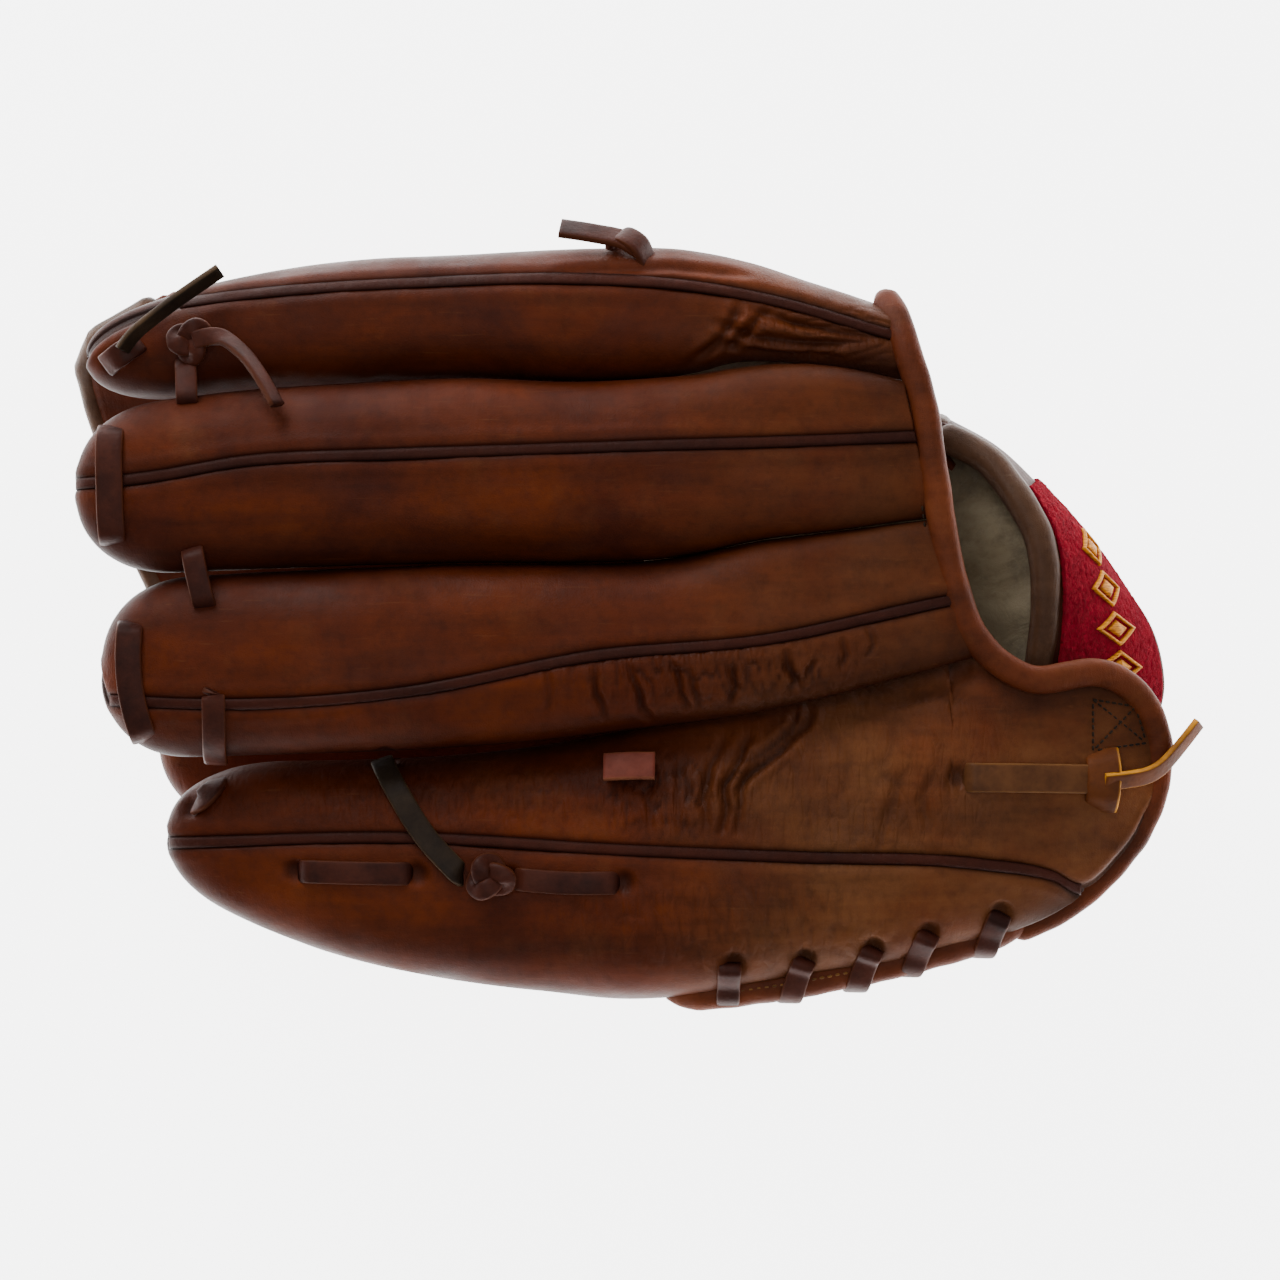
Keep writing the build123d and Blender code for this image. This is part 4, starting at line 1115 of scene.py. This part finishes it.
def make_bound_edges():
    """Rolled strips on the raw edges of the thumb half, the strap's end and the heel's inner wall."""
    line, out = sheet_frame()
    wrist_end = np.interp(line[:, 1], *SHEET_WRIST_END)
    places = {"thumb_palm_wrist_edge": wrist_end, "thumb_palm_web_edge": line[:, 0] + SHEET_PALM_X[0],
              "web_palm_edge": line[:, 0] + WEB_WRIST_X}
    for name, x in places.items():
        raised = np.column_stack([x, line[:, 1], np.maximum(line[:, 2], EDGE_HALF + 0.8)])
        bound_edge(name, raised, "thumb", out, EDGE_HALF)
    top = line[-1]
    web_top = along([(WEB_TIP_LINE[-1][1], top[1], top[2]), (WEB_WRIST_X, top[1], top[2])], 1.5)[0]
    bound_edge("web_top_edge", web_top, "thumb", (0, 0.6, 0.8), EDGE_HALF)
    fold_top = [(x, through(STALLS["index"]["rows"], [x])[1][0] - 2.6, 57.5) for x in range(-20, 47, 3)]
    bound_edge("fold_top_edge", along(fold_top, 1.5)[0], "hand", (0, 1, 0.3), 1.9)
    share = np.linspace(0, 1, STRAP_END_COUNT)
    strap_end = strap_points(1 - np.linspace(1e-4, 0, STRAP_END_COUNT), share, np.full(STRAP_END_COUNT, 0.2))
    bound_edge("strap_end_edge", strap_end, "hand", (0.5, 0.8, 0), 3.0, "strap_leather")
    thumb_ring = ring_at(THUMB, THUMB_END, 0.2, 2 * math.pi + 0.15, 2.4)
    bound_edge("thumb_opening_edge", thumb_ring, "thumb", (1, 0, 0), 2.2)
    heel_ring = ring_at(STALLS["pinky"], 120, -math.pi / 2, -math.pi, 1.6)
    bound_edge("heel_wall_edge", heel_ring, "hand", (1, 0, 0), 2.2)


def make_crossings():
    """The lace that closes the heel edge, a band over the rolled edge at each stitch."""
    for number, (x, y, lean) in enumerate(HEEL_CROSSINGS):
        top = [(x + lean * share, y + away, max(highest(x + lean * share, y + away)[0], 68.5) + 1.3)
               for share, away in ((1.5, 6), (1.1, 4.4), (0.6, 2.4))]
        top[0] = (top[0][0], top[0][1], top[0][2] - 3)
        side = [(x - lean * share, y - down, z) for share, down, z in CROSSING_SIDE]
        path = along(top + side, 0.8)[0]
        outward = np.linspace((0, -0.1, 1), (0, -1, -0.2), len(path))
        piece = swept(f"heel_crossing_{number}", path, oval(3.2, 1.0, 22, 5), outward)
        place(piece, PINKY_BEND, "rawhide_lace", "rawhide_lace")
        if number < 2:
            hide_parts(("pinky_edge_lace", "heel_lace")[number])


def stitches(name, lines, pitch, length, radius, material, body):
    """Rows of thread stitches along lines of points just above the leather."""
    verts, faces = [], []
    turn = np.linspace(0, 2 * math.pi, 6, endpoint=False)
    for line in lines:
        path, lengths = along(line, 0.4)
        for start in np.arange(0, lengths[-1] - length, pitch):
            middle = np.array([np.interp(start + length / 2, lengths, path[:, k]) for k in range(3)])
            ahead = np.array([np.interp(start + length, lengths, path[:, k]) for k in range(3)]) - middle
            ahead /= np.linalg.norm(ahead)
            side = np.cross(ahead, (0, 0, 1))
            side /= np.linalg.norm(side)
            up = np.cross(side, ahead)
            base = len(verts)
            for share in (-1, -0.6, 0.6, 1):
                size = radius * (0.35 if abs(share) == 1 else 1)
                ring = middle + ahead * share * length / 2 - up * radius * 0.3
                verts.extend((ring + size * (math.cos(a) * side + math.sin(a) * up)).tolist() for a in turn)
            faces.extend(tuple(base + index for index in face) for face in grid_faces(4, 6, closed=True))
            faces.extend((tuple(range(base + 5, base - 1, -1)), tuple(range(base + 18, base + 24))))
    place(mesh_piece(name, verts, faces), body, material, "embroidery_thread")


def make_stitches():
    """Thread on the heel edge, and the boxed cross on the flap."""
    def on(points, lift=0.5):
        return [(x, y, highest(x, y)[0] + lift) for x, y in points]
    box = ((129, -19), (141, -21), (144, -31), (129, -33))
    lines = [on(pair) for pair in zip(box, box[1:] + box[:1])] + [on((box[0], box[2])), on((box[1], box[3]))]
    stitches("flap_box_stitching", lines, 1.9, 1.4, 0.3, "dark_lace", "hand")
    heel = [(x, y + 0.2, z + 4.3) for x, y, z in HEEL_ROLL[4:7]]
    stitches("heel_edge_stitching", [heel], 2.2, 1.4, 0.4, "stitch_thread", "hand")
    edge = [(x - 4.6, y - 0.6, z + 0.6) for x, y, z in BACK_ROLL[4:8]]
    stitches("back_edge_stitching", [edge], 2.2, 1.5, 0.3, "dark_lace", "hand")


# ---------------------------------------------------------------- strap, patch and lining
def strap_points(u, v, out):
    """Points of the wrist strap, at shares along and across it and a distance out of its middle."""
    tops = np.array(through([(i, *p) for i, p in enumerate(STRAP_TOP)], u * (len(STRAP_TOP) - 1))).T
    feet = np.array(through([(i, *p) for i, p in enumerate(STRAP_FOOT)], u * (len(STRAP_FOOT) - 1))).T
    width = feet - tops
    direction = np.cross(width, np.gradient(tops, axis=0)) if len(u) > 2 else np.array([1.0, 0.5, 0.8])
    near = np.array([0.75, 0.45, 0.6])
    direction = np.where((direction @ near)[:, None] < 0, -direction, direction)
    direction /= np.linalg.norm(direction, axis=1, keepdims=True)
    bulge = STRAP_BULGE * np.sin(math.pi * v)
    return tops + width * v[:, None] + direction * (bulge + out)[:, None]


def strap_grid(area, counts, out):
    u0, u1, v0, v1 = area
    u = np.linspace(u0, u1, counts[0])
    ones = np.ones(len(u))
    return np.stack([strap_points(u, v * ones, out * ones) for v in np.linspace(v0, v1, counts[1])], axis=1)


def make_strap():
    """Wrist strap, the felt patch sewn on it and its embroidered lozenges."""
    grid = strap_grid((0, 1, 0.02, 1), (90, 30), 1.4)
    # The strap takes the dark shell leather and is darkened all over by 0.6: painted shade for the shadow
    # along its outer side.
    strap = grid_piece("wrist_strap_leather", grid, dirt=0.6, wear=0.3, crinkle=0.3)
    thicken(strap, 2.8, 0)
    place(strap, "hand", "shell_leather", "shell_leather", "wrist_strap")
    grid = strap_grid((0, 1, 0.04, 0.99), (60, 20), -1.6)
    lining = grid_piece("strap_lining_suede", grid)
    thicken(lining, 1.4, 0)
    place(lining, "hand", "lining_suede", "lining_suede", "strap_lining")
    grid = strap_grid(PATCH_AREA, PATCH_COUNTS, 3.2)
    fuzz = np.array([noise.noise(Vector(p) * 0.9) for p in grid.reshape(-1, 3)]).reshape(grid.shape[:2])
    rows, columns = np.indices(PATCH_COUNTS)
    rim = np.minimum.reduce([rows, rows[::-1], columns, columns[:, ::-1]])
    grid += grid_normals(grid) * (0.35 * fuzz * np.clip(rim / 3, 0.4, 1))[..., None]
    grid += fuzz[..., None] * (rim < 1)[..., None] * np.array([0.4, 0.7, 0.3])
    patch = grid_piece("patch_felt_badge", grid)
    thicken(patch, 1.6, 0)
    place(patch, "hand", "patch_felt", "patch_felt", "wrist_patch")
    verts, faces = [], []
    for middle in LOZENGES:
        for inner, outer in ((0.0, 0.52), (0.72, 1.0)):
            add_lozenge(verts, faces, middle, inner, outer)
    badge = mesh_piece("patch_lozenges", verts, faces)
    place(badge, "hand", "embroidery_thread", "embroidery_thread", "patch_embroidery")


def add_lozenge(verts, faces, middle, inner, outer):
    """A satin-stitched lozenge, or a lozenge-shaped ring, raised above the felt."""
    around = np.linspace(0, 4, LOZENGE_STEPS, endpoint=False)
    side = around % 1
    corners = np.array([(1, 0), (0, 1), (-1, 0), (0, -1), (1, 0)], float)
    start = corners[around.astype(int)]
    ring = start + (corners[around.astype(int) + 1] - start) * side[:, None]
    base = len(verts)
    levels = np.linspace(inner, outer, LOZENGE_LEVELS)
    for level, share in zip(levels, np.linspace(-1, 1, LOZENGE_LEVELS)):
        crown = 1.0 * math.sqrt(1 - share ** 2) if inner else 1.1 * math.sqrt(1 - (level / outer) ** 2)
        lift = THREAD_LIFT + crown
        u = middle + ring[:, 0] * level * LOZENGE_HALF[0]
        v = LOZENGE_MIDDLE + ring[:, 1] * level * LOZENGE_HALF[1]
        order = np.argsort(u)
        points = np.empty((len(u), 3))
        points[order] = strap_points(u[order] + np.arange(len(u)) * 1e-6, v[order], np.full(len(u), lift))
        verts.extend(points.tolist())
    last = base + (LOZENGE_LEVELS - 1) * LOZENGE_STEPS
    for face in grid_faces(LOZENGE_LEVELS, LOZENGE_STEPS, closed=True):
        faces.append(tuple(base + index for index in face))
    if inner:
        turned = [(j + 1) % LOZENGE_STEPS for j in range(LOZENGE_STEPS)]
        faces.extend((base + j, last + j, last + k, base + k) for j, k in enumerate(turned))
    else:
        faces.append(tuple(last + j for j in range(LOZENGE_STEPS)))


def make_lining():
    """The suede seen in the back opening: down from the strap's rolled edge and over the palm."""
    count = 90
    u = np.linspace(0, 1, count)
    tops = np.array(through([(i, *p) for i, p in enumerate(STRAP_TOP)], u * (len(STRAP_TOP) - 1))).T
    lines = []
    for t in np.linspace(0, 1, 60):
        inward = 46 * t ** 1.1
        drop = 9 * (1 - math.exp(-5 * t))
        target = np.column_stack([np.full(count, 58.0), np.linspace(-40, 62, count), np.zeros(count)])
        direction = target - tops
        direction[:, 2] = 0
        direction /= np.linalg.norm(direction, axis=1, keepdims=True)
        line = tops + direction * inward
        line[:, 2] = np.maximum(tops[:, 2], 58) - drop - 3
        lines.append(line)
    grid = np.stack(lines, axis=1)
    folds = rough(grid.reshape(-1, 3), 13, 4).reshape(grid.shape[:2]) * 1.8
    folds += rough(grid.reshape(-1, 3), 5, 9).reshape(grid.shape[:2]) * 0.6
    grid[..., 2] += folds
    # Darker towards the back's edge and the index side: painted shadow under the back's edge, over the lining
    # in the opening.
    dirt = np.clip((70 - grid[..., 0]) / 30, 0, 1) * 0.6 + np.clip((grid[..., 1] - 25) / 40, 0, 1) * 0.6
    lining = grid_piece("palm_lining_suede", grid, dirt=np.clip(dirt, 0, 1))
    thicken(lining, 1.4, 0)
    place(lining, "hand", "lining_suede", "lining_suede", "palm_lining")


def lining_tube(name, stall, inset, end, body, *nodes):
    """The suede inside a stall."""
    x = np.arange(stall["tip"] + 6, end, 3.0)
    y_mid, half_y, z_mid, half_z, square = section_sizes(stall, x)
    turn = np.linspace(0, 2 * math.pi, LINING_COUNT, endpoint=False)
    rings = []
    for i in range(len(x)):
        y, z = ring_point(turn, max(half_y[i] - inset, 0.5), max(half_z[i] - inset, 0.5), square[i])
        rings.append(np.column_stack([np.full(LINING_COUNT, x[i]), y_mid[i] + y, z_mid[i] + z]))
    points = np.vstack(rings)
    faces = grid_faces(len(x), LINING_COUNT, closed=True)
    piece = mesh_piece(name, points, faces, dirt=np.full(len(points), 0.3))
    thicken(piece, 1.2, 0)
    place(piece, body, "lining_suede", "lining_suede", *nodes)


def make_palm():
    """Palm leather of the hand half with its felt pad."""
    x = np.linspace(PALM_LOW[0][0], PALM_LOW[-1][0], PALM_COUNTS[0])
    y_low, = through(PALM_LOW, x)
    y_high, = through(PALM_HIGH, x)
    rim = through(PALM_RIMS, x)[0][:, None]
    for name, lift, thickness, material, node in (("palm_leather", 0, 2.2, "shell_leather", "palm_shell"),
                                                  ("palm_felt", 3.2, 2.4, "padding_felt", "palm_pad")):
        t = np.linspace(-1, 1, PALM_COUNTS[1]) * (1 if lift == 0 else 0.8)
        y = (y_low + y_high)[:, None] / 2 + (y_high - y_low)[:, None] / 2 * t
        z = rim - (rim - PALM_FLOOR - lift) * (1 - np.abs(t) ** PALM_SQUARE) ** (1 / PALM_SQUARE)
        grid = np.dstack([np.repeat(x[:, None], len(t), axis=1), y, z])
        grid[..., 2] -= relief(grid, 60)[0] * 0.7
        piece = grid_piece(name, grid, dirt=0.2, wear=0.6, crinkle=0.2)
        thicken(piece, thickness, 0)
        place(piece, "hand", material, material, node)


# ---------------------------------------------------------------- thumb half
def upside_down(stall, grid):
    """Turns a back panel over about the stall's middle height."""
    x = grid[:, 0, 0]
    out = grid.copy()
    out[..., 2] = 2 * section_sizes(stall, x)[2][:, None] - grid[..., 2]
    return out


def make_thumb():
    """Thumb stall, its seamed back below and its palm side above."""
    for side, label in ((1, "inner"), (-1, "outer")):
        grid = upside_down(THUMB, back_panel("thumb", THUMB, THUMB_END, side))
        piece = dress(f"thumb_back_{label}_leather", grid, 21.0, outward=-1)
        place(piece, "thumb", "shell_leather", "shell_leather", f"thumb_back_{label}_side")
    welt = welt_strip("thumb_welt_strip", THUMB, THUMB_END, turned=True)
    place(welt, "thumb", "welt_leather", "welt_leather", "thumb_welt")
    grid = upside_down(THUMB, front_grid(THUMB, THUMB_END))
    front = front_piece("thumb_palm_leather", grid, THUMB, 23.0, -1)
    place(front, "thumb", "shell_leather", "shell_leather", "thumb_palm_side")
    lining_tube("thumb_lining_suede", THUMB, 3.4, THUMB_END - 1, "thumb", "thumb_lining")


def sheet_frame():
    """The middle line of the thumb-side sheet, y and z, with its direction out."""
    line = along([(0, y, z) for y, z in SHEET_LINE], 1.5)[0]
    tangent = np.gradient(line, axis=0)
    tangent /= np.linalg.norm(tangent, axis=1, keepdims=True)
    out = np.column_stack([np.zeros(len(line)), -tangent[:, 2], tangent[:, 1]])
    return line, out


def sheet_grid(x_low, x_high, distance, step=1.8):
    """A grid over the sheet, from x_low to x_high along its line, at a distance out of its middle."""
    line, out = sheet_frame()
    count = int(np.max(np.asarray(x_high) - np.asarray(x_low)) / step)
    share = np.linspace(0, 1, count)
    x = np.asarray(x_low)[:, None] * (1 - share) + np.asarray(x_high)[:, None] * share
    base = line + out * distance
    return np.dstack([x, np.repeat(base[:, 1:2], count, axis=1), np.repeat(base[:, 2:], count, axis=1)]), out


def make_sheets():
    """Thumb-side palm, its felt, and the two-piece web with its rolled edge."""
    line, out = sheet_frame()
    ones = np.ones(len(line))
    tip = np.interp(line[:, 1], *np.array(WEB_TIP_LINE).T)
    wrist_end = np.interp(line[:, 1], *SHEET_WRIST_END)
    palm_start = SHEET_PALM_X[0] * ones
    layers = (
        ("thumb_palm_sheet", palm_start, wrist_end, 2.4, 2.2, "shell_leather", "thumb_palm_shell"),
        ("thumb_felt", palm_start + 2, wrist_end - 2, 0.0, 1.8, "padding_felt", "thumb_palm_pad"),
        ("thumb_back_sheet", palm_start, wrist_end, -2.3, 2.2, "shell_leather", "thumb_side_back"),
        ("web_front_leather", tip, WEB_WRIST_X * ones, 1.6, 2.4, "shell_leather", "web_front"),
        ("web_back_leather", tip, WEB_WRIST_X * ones, -1.6, 2.4, "shell_leather", "web_back"),
    )
    for name, low, high, distance, thickness, material, node in layers:
        grid, normal = sheet_grid(low, high, distance)
        lumps = relief(grid, 31)[0] * (0.45 if distance > 0 else -0.45)
        grid += normal[:, None] * lumps[..., None]
        grid[..., 2] = np.maximum(grid[..., 2], thickness / 2 + 0.1)
        piece = grid_piece(name, grid, dirt=0.25, wear=0.5, crinkle=0.25)
        thicken(piece, thickness, 0)
        place(piece, "thumb", material, material, node)
    rim = np.column_stack([tip - 1.5, line[:, 1], np.maximum(line[:, 2], 4.2)])
    roll = roughened(swept("web_rolled_edge", rim, oval(3.0, 3.2, 18), out, taper=3), 6, 0.2)
    place(roll, "thumb", "strap_leather", "binding_leather", "web_binding")
    band = np.column_stack([np.full(len(line), -22.0), line[:, 1], np.maximum(line[:, 2], 3.9)])[:-6]
    strip = swept("web_lace_strap", band, oval(1.0, 3.1, 20, 5), out[:-6])
    place(strip, "thumb", "rawhide_lace", "rawhide_lace", "web_lace")


def make_fold():
    """The leather that joins the two halves along the index side, outside the hinge."""
    profile = along([(0, y, z) for y, z in FOLD_PROFILE], 1.2)[0]
    x = np.arange(*FOLD_X, 1.5)
    grid = np.repeat(profile[None], len(x), axis=0)
    grid[..., 0] = x[:, None]
    height = relief(grid, 71)[0]
    inset = np.clip(through(STALLS["index"]["rows"], x)[1] - 102, -20, 0)
    grid[..., 1] += height * 0.8 + inset[:, None]
    piece = grid_piece("fold_leather", grid, dirt=0.4, wear=0.4, crinkle=0.4)
    thicken(piece, 2.0, 0)
    place(piece, THUMB_BEND, "shell_leather", "shell_leather")


MATERIALS = make_materials()
make_stage()
make_fixed_stalls()
make_pinky()
make_rolls()
make_crossings()
make_stitches()
make_laces()
make_knots()
make_tails()
make_strap()
make_lining()
make_palm()
make_thumb()
make_sheets()
make_fold()
make_bound_edges()
for name in ("index", "middle", "ring"):
    lining_tube(f"{name}_lining_suede", STALLS[name], 3.6, 8, "hand", f"{name}_lining")
lining_tube("pinky_lining_suede", STALLS["pinky"], 3.8, 6, "pinky", "pinky_lining")

slots = {part["node"]: part["material_slot"] for part in frame["record"]["subparts"]}
for node, piece in frame["nodes"].items():
    piece.data.materials.clear()
    piece.data.materials.append(MATERIALS[slots[node]])
